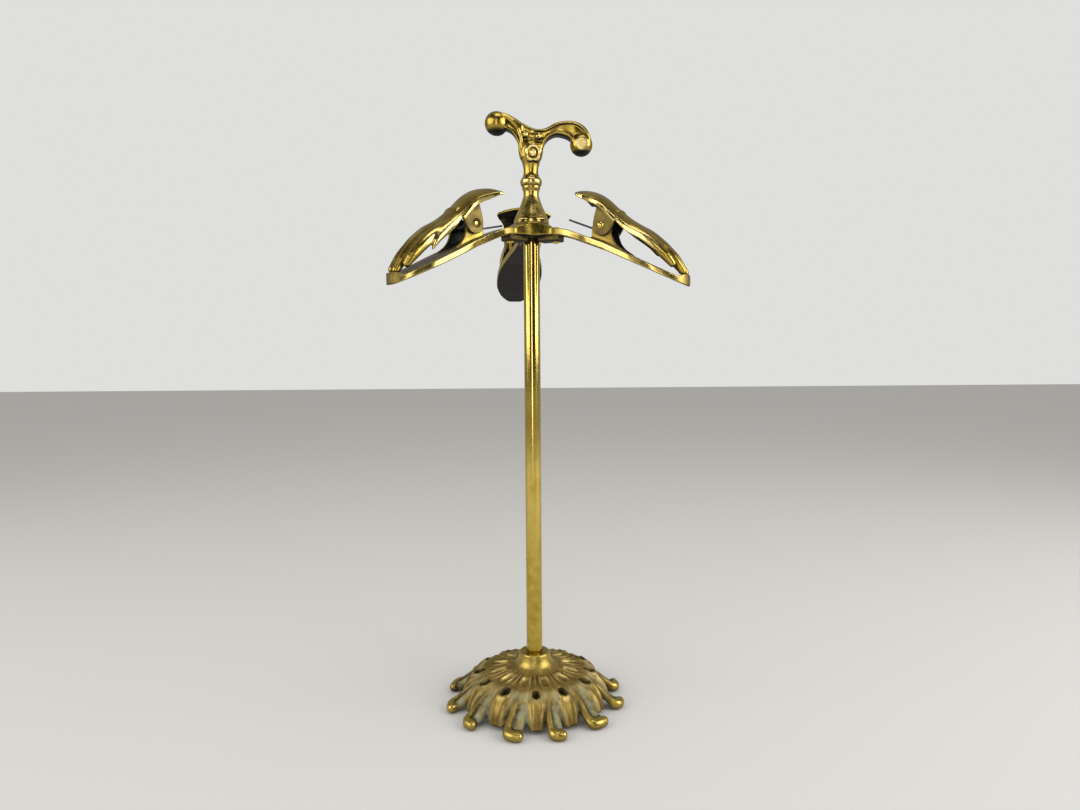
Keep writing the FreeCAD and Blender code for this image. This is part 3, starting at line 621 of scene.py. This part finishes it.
# Place along the crown, half width, drop from crown to edge, and thickness at the edge and in the middle.
SECTIONS = (
    (21, 13.9, 2.6, 1.2, 1.2), (25, 14.3, 3, 1.2, 1.2), (28, 14.2, 3.4, 1.5, 1.5),
    (31.5, 13.3, 3.7, 2.1, 1.8), (35, 11.8, 3.6, 2.5, 2.1), (39, 10.3, 3.1, 2.5, 2.3),
    (44, 8.9, 2.9, 1.8, 2.8), (47, 8.5, 3.1, 1.7, 3.2), (51, 8.5, 3.4, 2.5, 3.6),
    (56, 8.8, 3.4, 2.6, 3.8), (61, 9, 3.3, 2.3, 3.8), (66, 8.9, 3.2, 2, 3.6), (72, 8.6, 3, 1.6, 3.2),
)
# Fingers as stations: place along the crown, y, depth under the crown and radius.
FINGERS = (
    (
        (54, 5.6, 4, 2), (60, 6.3, 3.8, 2.6), (66, 6.5, 3.7, 2.6),
        (71.5, 6.4, 3.7, 2.3), (74.6, 6.1, 3.8, 1.7),
    ),
    (
        (54, 1.9, 3, 2), (60, 2.1, 2.6, 2.6), (66, 2.25, 2.6, 2.6),
        (72, 2.2, 2.45, 2.3), (76.8, 2.1, 2.4, 1.8),
    ),
    (
        (54, -1.9, 3, 2), (60, -2.1, 2.7, 2.5), (66, -2.25, 2.7, 2.5),
        (72, -2.2, 2.55, 2.2), (76.5, -2.1, 2.5, 1.75),
    ),
    (
        (54, -5.6, 4, 1.9), (60, -6.3, 3.9, 2.5), (65.5, -6.4, 3.9, 2.45),
        (70.5, -6.3, 3.9, 2.2), (73.6, -6, 4, 1.65),
    ),
)
THUMB = (
    (47, 5.6, 235.2, 2), (50.6, 7, 232.4, 2.2), (54.2, 8.2, 229.4, 2), (57.4, 8.9, 226.4, 1.6),
    (59.4, 9.1, 223.6, 1.1), (60.4, 9.1, 221.7, 0.5),
)
LUG_SIDE = (
    (36, 243), (34.8, 238.6), (34.2, 235), (34.7, 232.2), (36.4, 230.3), (38.8, 229.8), (41.2, 230.8),
    (43, 233.2), (44.6, 236.6), (45.4, 240),
)
LUG_INSIDE, LUG_OUTSIDE = 7.6, 9.2
SLEEVE_HALF = 14.2
KNUCKLES, CUFF = 59, 46.3
FINGERTIP_Z = 211.38


def crown_lookup():
    """For points of the arm's plane: the place along the crown line and the signed height above it."""
    curve = smooth_path(CROWN, 12)
    low, high, step = (15, 200), (84.85, 261.85), 0.15
    u, w = plane_grid(low, high, step)
    nearest = np.full(u.shape, 1e9)
    place, height = np.zeros(u.shape), np.zeros(u.shape)
    for a, b in zip(curve, curve[1:]):
        way = b - a
        away_x, away_z, share = from_segment(u, w, a, b)
        distance = np.hypot(away_x, away_z)
        closer = distance < nearest
        above = np.sign(way[0] * away_z - way[1] * away_x)
        nearest = np.where(closer, distance, nearest)
        place = np.where(closer, a[0] + share * way[0], place)
        height = np.where(closer, above * distance, height)
    # The place is evened out where neighbouring points belong to different stretches of the line.
    for _ in range(4):
        place[1:-1, 1:-1] = (place[:-2, 1:-1] + place[2:, 1:-1] + place[1:-1, :-2] + place[1:-1, 2:]) / 4
    return table_reader(place, low, step), table_reader(height, low, step), curve


def finger_paths(curve):
    slope = np.gradient(curve[:, 1], curve[:, 0])
    paths = []
    for stations in FINGERS:
        path = []
        for place, y, depth, radius in stations:
            lean = np.interp(place, curve[:, 0], slope)
            size = math.hypot(1, lean)
            z = np.interp(place, curve[:, 0], curve[:, 1]) - depth / size
            path.append((place + depth * lean / size, y, z, radius))
        paths.append(smooth_path(path, 3))
    return paths


def make_hand_field():
    place_at, height_at, curve = crown_lookup()
    fingers = finger_paths(curve)
    lug_outline = outline_distance(smooth_path(LUG_SIDE + LUG_SIDE[:1], 3)[:-1], (25, 220), (60, 255), 0.12)
    places, *columns = zip(*SECTIONS)

    def field(p):
        x, y, z = p.T
        depth = np.abs(y)
        place, height = place_at(x, z), height_at(x, z)
        half_width, drop, edge, middle = (np.interp(place, places, column) for column in columns)
        # Soft folds run along the sleeve, and the back of the hand is lifted over the knuckles.
        folds = 0.03 * np.cos(y * 0.9) * ramp(place, 27, 31) * (1 - ramp(place, 42, 45))
        knuckles = 0.22 * bump(place, KNUCKLES, 3) * (np.cos(y * 1.45 + 0.25) ** 2)
        share = depth / half_width
        surface = height + drop * share**2 - folds - knuckles
        tilt = np.sqrt(1 + (2 * drop * share / half_width) ** 2)
        thick = middle + (edge - middle) * share**2
        body = np.maximum(surface, -surface - thick) / tilt
        body = smooth_max(body, depth - half_width, 0.5)
        end = 24.4 + (2.5 - 0.8 * np.clip(y / SLEEVE_HALF, -1, 1)) * (depth / SLEEVE_HALF) ** 2
        body = smooth_max(body, (end - x) * 0.95, 0.6)
        body = smooth_max(body, (place - 68) * 0.8, 2.5)

        whole = None
        for path in fingers:
            finger = rod(p, path[:, :3], path[:, 3])
            whole = finger if whole is None else smooth_min(whole, finger, 0.8)
        whole = smooth_min(body, whole, 1.2)
        whole = smooth_min(whole, smooth_rod(p, THUMB, steps=2), 1.2)
        # A thin rolled cuff crosses the wrist.
        cuff = length(place - CUFF, surface / tilt + 0.30) - 0.62
        cuff = np.maximum(cuff, depth - half_width * 0.62)
        whole = smooth_min(whole, cuff, 1)
        lug = smooth_max(lug_outline(x, z), np.abs(depth - (LUG_INSIDE + LUG_OUTSIDE) / 2) - 0.8, 0.3)
        lug = np.maximum(lug, surface / tilt + 0.8)
        whole = smooth_min(whole, lug, 0.8)
        from_pin = length(x - PIVOT_X, z - PIVOT_Z)
        whole = np.maximum(whole, PIN_RADIUS + BORE_GAP - from_pin)
        # The pin's tail sits in a shallow round recess on the thumb's side.
        recess = np.maximum(from_pin - 2, LUG_OUTSIDE - 0.6 - y)
        whole = smooth_max(whole, -recess, 0.2)
        return np.maximum(whole - 0.015 * waves(p, 2.2, 41), FINGERTIP_Z - z)

    return field


def hand_painted_light(p, normals):
    """Painted light on a hand: black painted shade beneath and on inward faces, brown painted shade on its
    lugs under the sleeve, and a painted sheen along its sides.
    """
    x, y, z = p.T
    place_at, height_at, _ = crown_lookup()
    depth = np.abs(y)
    place, height = place_at(x, z), height_at(x, z)
    places, widths, drops, *_ = zip(*SECTIONS)
    half_width, drop = np.interp(place, places, widths), np.interp(place, places, drops)
    below = -(height + drop * (depth / half_width) ** 2)
    # Painted shade in brown on the lugs, under the sleeve.
    lug = ramp(below, 1.2, 2.2) * (1 - ramp(x, 47, 50))
    lug = lug * ramp(depth, 7.2, 7.5) * (1 - ramp(depth, 9.3, 9.8))
    # Painted shade: faces turned down, and inward faces below the crown, are made black.
    inward = ramp(-normals[:, 1] * np.sign(y), 0.3, 0.7)
    under = np.maximum(ramp(-normals[:, 2], 0.35, 0.75), inward * ramp(below, 1, 2))
    # Painted sheen along the sides, off the lugs and short of the fingers.
    side = ramp(np.abs(normals[:, 1]), 0.55, 0.85) * (1 - inward) * (1 - lug) * (1 - ramp(x, 60, 68))
    return under, lug * (1 - inward) * 0.9, side * 0.75


# ---- pieces


def add_object(name, data):
    obj = bpy.data.objects.new(name, data)
    bpy.context.scene.collection.objects.link(obj)
    return obj


def new_mesh(name, points, faces):
    """A mesh object from points in millimetres."""
    mesh = bpy.data.meshes.new(name)
    mesh.from_pydata((np.asarray(points, float) * MM).tolist(), [], [list(face) for face in faces])
    mesh.validate()
    mesh.update()
    mesh.polygons.foreach_set("use_smooth", np.ones(len(mesh.polygons), bool))
    return add_object(name, mesh)


def store(obj, **marks):
    """Stores a value at each point of a piece, for its material to read."""
    for name, values in marks.items():
        attribute = obj.data.attributes.new(name, "FLOAT", "POINT")
        attribute.data.foreach_set("value", np.asarray(values, np.float32))


def turned_points(points, side):
    """Points of a clip turned from +X to its azimuth."""
    cos, sin = math.cos(AZIMUTHS[side]), math.sin(AZIMUTHS[side])
    x, y, z = np.asarray(points).T
    return np.stack([x * cos - y * sin, x * sin + y * cos, z], 1)


def place_piece(obj, node, body, material):
    """Puts a finished piece in the frame in place of its CAD node."""
    obj.data.materials.clear()
    obj.data.materials.append(material)
    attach(obj, body)
    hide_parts(node)


def skin(rows):
    """Faces between neighbouring rows of point numbers. A row of one point is a tip."""
    faces = []
    for lower, upper in zip(rows, rows[1:]):
        for k in range(max(len(lower), len(upper))):
            face = []
            for row, at in ((lower, k), (lower, k + 1), (upper, k + 1), (upper, k)):
                corner = row[at % len(row)]
                if corner not in face:
                    face.append(corner)
            faces.append(face)
    return faces


def lathe(outline, steps=64, centre=(0, 0), closed=False):
    """Points and faces of a turned shape from its outline of radius and height."""
    points, rows = [], []
    for radius, z in outline:
        count = steps if radius else 1
        rows.append(list(range(len(points), len(points) + count)))
        for k in range(count):
            turn = 2 * math.pi * k / steps
            points.append((centre[0] + radius * math.cos(turn), centre[1] + radius * math.sin(turn), z))
    return points, skin(rows + rows[:1] if closed else rows)


# ---- materials


class Graph:
    """Builds up a node tree. Its inputs take sockets or plain values."""

    def __init__(self, tree):
        self.nodes, self.links = tree.nodes, tree.links

    def link(self, source, target):
        """Joins a socket, or sets a plain value. A tuple is a colour."""
        if isinstance(source, bpy.types.NodeSocket):
            self.links.new(source, target)
        else:
            target.default_value = (*source, 1.0) if isinstance(source, tuple) else source

    def node(self, kind, **inputs):
        """A new node. In the names of its inputs, _ stands for a space."""
        node = self.nodes.new(f"ShaderNode{kind}")
        for name, source in inputs.items():
            self.link(source, node.inputs[name.replace("_", " ")])
        return node

    def span(self, value, low, high, start=0.0, end=1.0):
        """The value, moved from low..high to start..end and held within it."""
        node = self.node("MapRange", Value=value, From_Min=low, From_Max=high, To_Min=start, To_Max=end)
        node.interpolation_type = "SMOOTHSTEP"
        return node.outputs["Result"]

    def mix(self, share, a, b):
        """Colour a changed to colour b by a share."""
        node = self.node("Mix")
        node.data_type = "RGBA"
        self.link(share, node.inputs["Factor"])
        for colour, target in zip((a, b), [s for s in node.inputs if s.type == "RGBA"]):
            self.link(colour, target)
        return next(s for s in node.outputs if s.type == "RGBA")

    def sum(self, a, b, operation="ADD"):
        node = self.node("Math")
        node.operation = operation
        self.link(a, node.inputs[0])
        self.link(b, node.inputs[1])
        return node.outputs[0]

    def times(self, a, b):
        return self.sum(a, b, "MULTIPLY")

    def most(self, a, b):
        return self.sum(a, b, "MAXIMUM")


class Finish(Graph):
    """A procedural material built up from noise and from the values stored at a piece's points."""

    def __init__(self, name):
        self.material = bpy.data.materials.new(name)
        self.material.use_nodes = True
        super().__init__(self.material.node_tree)
        self.shader = next(n for n in self.nodes if n.type == "BSDF_PRINCIPLED")
        self.place = self.node("TexCoord").outputs["Object"]

    def noise(self, scale, detail=3.0, stretch=(1, 1, 1)):
        """Noise with features about this many millimetres across."""
        mapping = self.node("Mapping", Vector=self.place, Scale=[1 / (scale * MM) * s for s in stretch])
        noise = self.node("TexNoise", Vector=mapping.outputs[0], Scale=1.0, Detail=detail, Roughness=0.55)
        return noise.outputs["Fac"]

    def stored(self, name):
        node = self.node("Attribute")
        node.attribute_name = name
        return node.outputs["Fac"]

    def bump(self, height, strength, distance):
        """Fine relief, in millimetres."""
        node = self.node("Bump", Strength=strength, Distance=distance * MM, Height=height)
        self.link(node.outputs[0], self.shader.inputs["Normal"])

    def done(self, colour, roughness, metallic=1.0, specular=0.15):
        self.link(colour, self.shader.inputs["Base Color"])
        self.link(roughness, self.shader.inputs["Roughness"])
        self.link(metallic, self.shader.inputs["Metallic"])
        self.link(specular, self.shader.inputs["Specular IOR Level"])
        return self.material


def polished_brass():
    """The tube, the pins and the rivets: bright, with fine streaks and a brown bloom low on the tube."""
    f = Finish("polished_brass")
    cloud = f.noise(9, 4)
    streak = f.noise(0.8, 3, (1, 1, 0.03))
    speck = f.noise(0.5, 4)
    low = f.stored("tarnish")
    colour = f.mix(f.span(cloud, 0.35, 0.7), (0.70, 0.52, 0.13), (0.58, 0.41, 0.09))
    stain = f.times(f.span(low, 0, 1, 0.12, 0.8), f.span(f.noise(4, 5), 0.3, 0.7, 0.3, 1))
    colour = f.mix(stain, colour, (0.34, 0.26, 0.02))
    colour = f.mix(f.span(speck, 0.66, 0.75, 0, 0.5), colour, (0.22, 0.14, 0.04))
    rough = f.sum(f.span(streak, 0.3, 0.75, 0.09, 0.18), f.times(stain, 0.14))
    f.bump(f.sum(f.times(streak, 0.6), f.noise(2.5, 2)), 0.25, 0.04)
    return f.done(colour, rough)


def cast_brass():
    """The hands, arms, hub and finial: olive brass, dark in hollows, bright on its edges, black or brown
    with painted shade beneath and on shaded parts, and with a painted sheen on the sides of arms and hands.
    """
    f = Finish("cast_brass")
    hollow, polish, under, stain = (f.stored(name) for name in ("hollow", "polish", "under", "stain"))
    cloud = f.noise(8, 4)
    colour = f.mix(f.span(cloud, 0.3, 0.7), (0.47, 0.335, 0.062), (0.34, 0.235, 0.042))
    # Worn convex edges go bright; so does the stored polish, which on the finial is real polish and on the
    # arms and hands is a painted sheen along their sides.
    bright = f.most(f.span(hollow, -0.06, -0.45), polish)
    colour = f.mix(f.times(bright, 0.85), colour, (0.88, 0.70, 0.28))
    dark = f.times(f.span(hollow, 0.08, 0.42), f.span(f.noise(2, 4), 0.2, 0.7, 0.6, 1))
    colour = f.mix(f.times(dark, 0.9), colour, (0.10, 0.06, 0.015))
    # Painted shade: the stored shaded parts turn a matt dark brown.
    brown_painted_shade = f.times(stain, f.span(f.noise(3.5, 4), 0.25, 0.75, 0.7, 1))
    colour = f.mix(brown_painted_shade, colour, (0.062, 0.042, 0.016))
    # Painted shade: undersides and inward faces go near black.
    colour = f.mix(under, colour, (0.006, 0.005, 0.004))
    colour = f.mix(f.span(f.noise(0.6, 4), 0.66, 0.76, 0, 0.4), colour, (0.16, 0.10, 0.03))
    worn = f.stored("worn")
    colour = f.mix(f.times(worn, f.span(hollow, 0.25, -0.1)), colour, (0.90, 0.70, 0.28))
    dull = f.sum(f.span(f.noise(3, 4), 0.3, 0.7, 0.20, 0.32), f.times(dark, 0.25))
    rough = f.sum(dull, f.times(bright, -0.08))
    rough = f.sum(rough, f.times(f.sum(under, brown_painted_shade), 0.14))
    rough = f.sum(rough, f.times(worn, 0.06))
    fine = f.sum(f.noise(0.7, 3), f.times(f.noise(4.5, 2), 1.2))
    f.bump(fine, 0.12, 0.08)
    matte = f.most(f.times(brown_painted_shade, 0.75), under)
    return f.done(colour, rough, f.sum(1, matte, "SUBTRACT"))


def aged_brass():
    """The base: worn olive brass with grey-green in its grooves."""
    f = Finish("aged_cast_brass")
    hollow, polish = f.stored("hollow"), f.stored("polish")
    cloud, grain = f.noise(6, 4), f.noise(1.2, 4)
    colour = f.mix(f.span(cloud, 0.3, 0.7), (0.31, 0.215, 0.055), (0.17, 0.115, 0.030))
    colour = f.mix(f.span(hollow, -0.08, -0.5, 0, 0.6), colour, (0.56, 0.42, 0.17))
    colour = f.mix(polish, colour, (0.50, 0.36, 0.085))
    dark = f.times(f.span(hollow, -0.02, 0.22), f.span(grain, 0.25, 0.6, 0.6, 1))
    colour = f.mix(f.times(dark, 0.95), colour, (0.042, 0.031, 0.014))
    green = f.times(f.stored("ground"), f.span(f.noise(4, 5), 0.3, 0.65, 0.15, 1))
    green = f.most(green, f.times(dark, f.span(f.noise(7, 4), 0.5, 0.7, 0, 0.5)))
    bloom = f.mix(grain, (0.24, 0.25, 0.16), (0.13, 0.12, 0.07))
    colour = f.mix(f.times(green, 0.85), colour, bloom)
    dull = f.sum(f.span(cloud, 0.3, 0.7, 0.42, 0.54), f.times(polish, -0.18))
    rough = f.sum(f.sum(dull, f.times(dark, 0.14)), f.times(green, 0.2))
    spots = f.sum(f.times(green, 0.75), f.times(f.sum(1, polish, "SUBTRACT"), 0.2))
    metal = f.sum(1, spots, "SUBTRACT")
    f.bump(f.sum(f.noise(0.7, 4), f.times(f.noise(2.6, 3), 1.5)), 0.6, 0.16)
    return f.done(colour, rough, metal)


def steel(name, light, dark, rough_low, rough_high):
    f = Finish(name)
    cloud = f.noise(3, 4)
    colour = f.mix(f.span(cloud, 0.35, 0.65), light, dark)
    colour = f.mix(f.span(f.noise(0.8, 4), 0.6, 0.72, 0, 0.6), colour, (0.11, 0.06, 0.03))
    f.bump(f.noise(0.5, 3), 0.4, 0.05)
    return f.done(colour, f.span(f.noise(1.2, 3), 0.3, 0.7, rough_low, rough_high))


POLISHED, CAST, AGED = polished_brass(), cast_brass(), aged_brass()
SPRING_STEEL = steel("spring_steel", (0.10, 0.10, 0.11), (0.05, 0.05, 0.055), 0.30, 0.5)
PLAIN_STEEL = steel("plain_steel", (0.42, 0.42, 0.41), (0.27, 0.27, 0.27), 0.35, 0.6)


# ---- the base, the finial and the hub


def smooth_normals(points, quads):
    a, b = points[quads[:, 2]] - points[quads[:, 0]], points[quads[:, 3]] - points[quads[:, 1]]
    face = np.cross(a, b)
    total = np.zeros_like(points)
    for corner in range(4):
        for axis in range(3):
            total[:, axis] += np.bincount(quads[:, corner], face[:, axis], len(points))
    return total / np.maximum(np.linalg.norm(total, axis=1, keepdims=True), 1e-12)


def add_field_piece(node, body, material, field, low, high, step):
    points, quads, hollow = mesh_field(field, low, high, step)
    obj = new_mesh(f"{node}_shape", points, quads)
    # Faces turned downwards are stored for painted shade.
    store(obj, hollow=hollow, under=ramp(-smooth_normals(points, quads)[:, 2], 0.3, 0.7))
    place_piece(obj, node, body, material)
    return obj, points


base, base_points = add_field_piece(
    "base", "stand", AGED, make_base_field(), (-46, -46, -0.5), (46, 46, 26), 0.45
)
bright, ground = base_marks(base_points.astype(np.float32))
store(base, polish=bright, ground=ground)
finial, finial_points = add_field_piece(
    "finial", "stand", CAST, make_finial_field(), (-23, -9, 238), (31, 9, 292.5), 0.3
)
bright, worn = finial_marks(finial_points)
store(finial, polish=bright, worn=worn)
hub, hub_points = add_field_piece(
    "hub_spider", "arm_set", CAST, make_hub_field(), (-16, -16, 229), (16.5, 16.5, 239), 0.3
)
# The tongues below the ring are stored for brown painted shade.
store(hub, stain=1 - ramp(hub_points[:, 2], 231.9, 232.5))


# ---- the clips

ARM = mesh_field(make_arm_field(), (7, -13, 205), (78, 13, 240), 0.35)
HAND = mesh_field(make_hand_field(), (20, -15, 210), (78, 15, 254), 0.3)
arm_normals, hand_normals = smooth_normals(*ARM[:2]), smooth_normals(*HAND[:2])
# Painted shade and painted sheen for the arms and hands, stored with each piece below.
arm_under, arm_stain, arm_painted_sheen = arm_painted_light(ARM[0], arm_normals)
hand_under, hand_stain, hand_painted_sheen = hand_painted_light(HAND[0], hand_normals)
for side in CLIPS:
    for node, (points, quads, hollow), body, under, stain, bright in (
        (f"{side}_arm", ARM, "arm_set", arm_under, arm_stain, arm_painted_sheen),
        (f"{side}_hand", HAND, f"{side}_jaw", hand_under, hand_stain, hand_painted_sheen),
    ):
        obj = new_mesh(f"{node}_shape", turned_points(points, side), quads)
        store(obj, hollow=hollow, polish=bright, under=under, stain=stain)
        place_piece(obj, node, body, CAST)


# ---- turned pieces

POST_WALL = 0.8
# Outlines of radius and place: a pin along its length with its dome first, and a rivet by height.
PIN = (
    (0, -10.35), (0.7, -10.25), (1.25, -9.95), (1.6, -9.55), (1.75, -9.25), (1.2, -9.23), (1.2, 8.6),
    (1, 8.78), (0, 8.8),
)
RIVET = (
    (0, 228.6), (1, 228.7), (1.8, 229.1), (2.2, 229.55), (1.3, 229.57), (1.3, 235.5), (2.2, 235.55),
    (1.9, 236), (1.1, 236.4), (0, 236.5),
)


def place_turned(node, body, points, faces, tarnish=0.0):
    obj = new_mesh(f"{node}_shape", points, faces)
    store(obj, tarnish=np.broadcast_to(tarnish, len(points)))
    place_piece(obj, node, body, POLISHED)


wall = [(POST_RADIUS, z) for z in np.linspace(POST_LOW[2] + 0.4, POST_HIGH[2] - 0.3, 60)]
lower_rim = [(POST_RADIUS - POST_WALL, POST_LOW[2]), (POST_RADIUS - 0.3, POST_LOW[2])]
upper_rim = [(POST_RADIUS - 0.2, POST_HIGH[2]), (POST_RADIUS - POST_WALL, POST_HIGH[2])]
points, faces = lathe(lower_rim + wall + upper_rim, 72, closed=True)
place_turned("post", "stand", points, faces, 1 - ramp(np.array(points)[:, 2], 30, 120))

for side in CLIPS:
    points, faces = lathe(PIN, 32)
    points = np.array(points)
    points = np.stack([points[:, 0] + PIVOT_X, points[:, 2], PIVOT_Z - points[:, 1]], 1)
    place_turned(f"{side}_pivot_pin", "arm_set", turned_points(points, side), faces)
    points, faces = lathe(RIVET, 32, (RIVET_X, 0))
    place_turned(f"{side}_rivet", "arm_set", turned_points(points, side), faces)


# ---- springs

COIL_RADIUS, WIRE_RADIUS, COIL_TURNS = 2.3, 0.45, 7
ARM_LEG_RISE = {"right": 22.0, "back": 11.0, "left": 12.0}
ARM_LEG_LENGTH = {"right": 17.4, "back": 19.6, "left": 22.5}
SLEEVE_LEG_RISE = 52.0


def spring_line(side):
    """The middle of a spring's wire, from its leg on the arm to its leg under the sleeve."""
    pitch = WIRE_RADIUS * 2 * 1.12
    start, end = math.radians(-90 - ARM_LEG_RISE[side]), math.radians(90 - SLEEVE_LEG_RISE)
    sweep = 2 * math.pi * (COIL_TURNS - 1) + end - start
    turns = sweep / (2 * math.pi)
    pivot = np.array([PIVOT_X, 0, PIVOT_Z])
    coil = []
    for i in range(int(30 * turns) + 1):
        share = i / int(30 * turns)
        turn = start + sweep * share
        offset = [COIL_RADIUS * math.cos(turn), pitch * turns * (share - 0.5), COIL_RADIUS * math.sin(turn)]
        coil.append(pivot + offset)
    to_hub = np.array([math.sin(start), 0, -math.cos(start)]) * ARM_LEG_LENGTH[side]
    to_sleeve = np.array([-math.sin(end), 0, math.cos(end)]) * 16.0
    arm_leg = [coil[0] + to_hub * s for s in np.linspace(1, 0, 12)[:-1]]
    sleeve_leg = [coil[-1] + to_sleeve * s for s in np.linspace(0, 1, 10)[1:]]
    return np.array(arm_leg + coil + sleeve_leg)


def tube(line, radius, sides=12):
    """A closed round tube along a line."""
    way = np.gradient(line, axis=0)
    way /= np.linalg.norm(way, axis=1, keepdims=True)
    across = np.cross(way, [0, 1, 0])
    across /= np.linalg.norm(across, axis=1, keepdims=True)
    other = np.cross(way, across)
    points, rows = [line[0] - way[0] * radius * 0.3], [[0]]
    for i, centre in enumerate(line):
        rows.append(list(range(len(points), len(points) + sides)))
        for k in range(sides):
            turn = 2 * math.pi * k / sides
            points.append(centre + radius * (math.cos(turn) * across[i] + math.sin(turn) * other[i]))
    rows.append([len(points)])
    points.append(line[-1] + way[-1] * radius * 0.3)
    return np.array(points), skin(rows)


for side in CLIPS:
    points, faces = tube(spring_line(side), WIRE_RADIUS)
    obj = new_mesh(f"{side}_spring_shape", turned_points(points, side), faces)
    obj.data.materials.append(SPRING_STEEL)
    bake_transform(obj)
    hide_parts(f"{side}_spring")

for node in ("tie_rod", "base_nut", "base_washer"):
    frame["nodes"][node].data.materials.clear()
    frame["nodes"][node].data.materials.append(PLAIN_STEEL)


# ---- floor, light and camera


def add_floor():
    reach = 3.0 / MM
    corners = [(-reach, -reach, 0), (reach, -reach, 0), (reach, reach, 0), (-reach, reach, 0)]
    floor = new_mesh("floor", corners, [(0, 1, 2, 3)])
    floor.data.materials.append(Finish("pale_floor").done((0.42, 0.41, 0.39), 0.5, 0.0, 0.0))


def add_light(name, azimuth, elevation, distance, width, height, power, aim=(0, 0, 0.15)):
    """A soft panel that faces the stand. Azimuth 0 is the viewer's side and 90 the viewer's right."""
    light = bpy.data.lights.new(name, "AREA")
    light.shape = "RECTANGLE"
    light.size, light.size_y, light.energy = width, height, power
    obj = add_object(name, light)
    a, e = math.radians(azimuth), math.radians(elevation)
    offset = Vector((math.sin(a) * math.cos(e), -math.cos(a) * math.cos(e), math.sin(e))) * distance
    obj.location = Vector(aim) + offset
    obj.rotation_euler = (-offset).to_track_quat("-Z", "Y").to_euler()


def add_world():
    world = bpy.data.worlds.new("studio")
    bpy.context.scene.world = world
    world.use_nodes = True
    world.cycles.sampling_method = "NONE"
    graph = Graph(world.node_tree)
    # Brass mirrors a dim room in front and a pale wall behind. Matt surfaces and the camera get pale grey.
    where = graph.node("TexCoord").outputs["Generated"]
    behind = graph.span(graph.node("SeparateXYZ", Vector=where).outputs["Y"], -0.3, 0.5)
    colour = graph.mix(behind, (0.035, 0.030, 0.026), (0.34, 0.34, 0.32))
    path = graph.node("LightPath")
    colour = graph.mix(path.outputs["Is Diffuse Ray"], colour, (0.90, 0.90, 0.89))
    colour = graph.mix(path.outputs["Is Camera Ray"], colour, (0.74, 0.74, 0.73))
    background = next(n for n in graph.nodes if n.type == "BACKGROUND")
    graph.link(colour, background.inputs["Color"])


def add_camera():
    data = bpy.data.cameras.new("camera")
    data.sensor_width = 36.0
    data.lens = 24.97
    data.clip_start = 0.01
    camera = add_object("camera", data)
    yaw, pitch, roll = (math.radians(angle) for angle in (-0.56, -4.33, -0.39))
    turn = Matrix.Rotation(yaw, 4, "Z") @ Matrix.Rotation(math.pi / 2 + pitch, 4, "X")
    camera.matrix_world = Matrix.Translation((0, -0.3705, 0.1785)) @ turn @ Matrix.Rotation(roll, 4, "Z")
    bpy.context.scene.camera = camera


add_floor()
# Azimuth, elevation, distance, width, height and power.
add_light("front_window", -3, 14, 0.75, 0.12, 0.6, 0.9)
add_light("left_window", -62, 22, 0.8, 0.80, 0.60, 4.4)
add_light("right_window", 70, 22, 0.8, 0.70, 0.60, 5.8)
add_light("overhead", 30, 78, 0.9, 0.5, 0.4, 1.6)
add_world()
add_camera()
bpy.context.scene.view_settings.view_transform = "Standard"
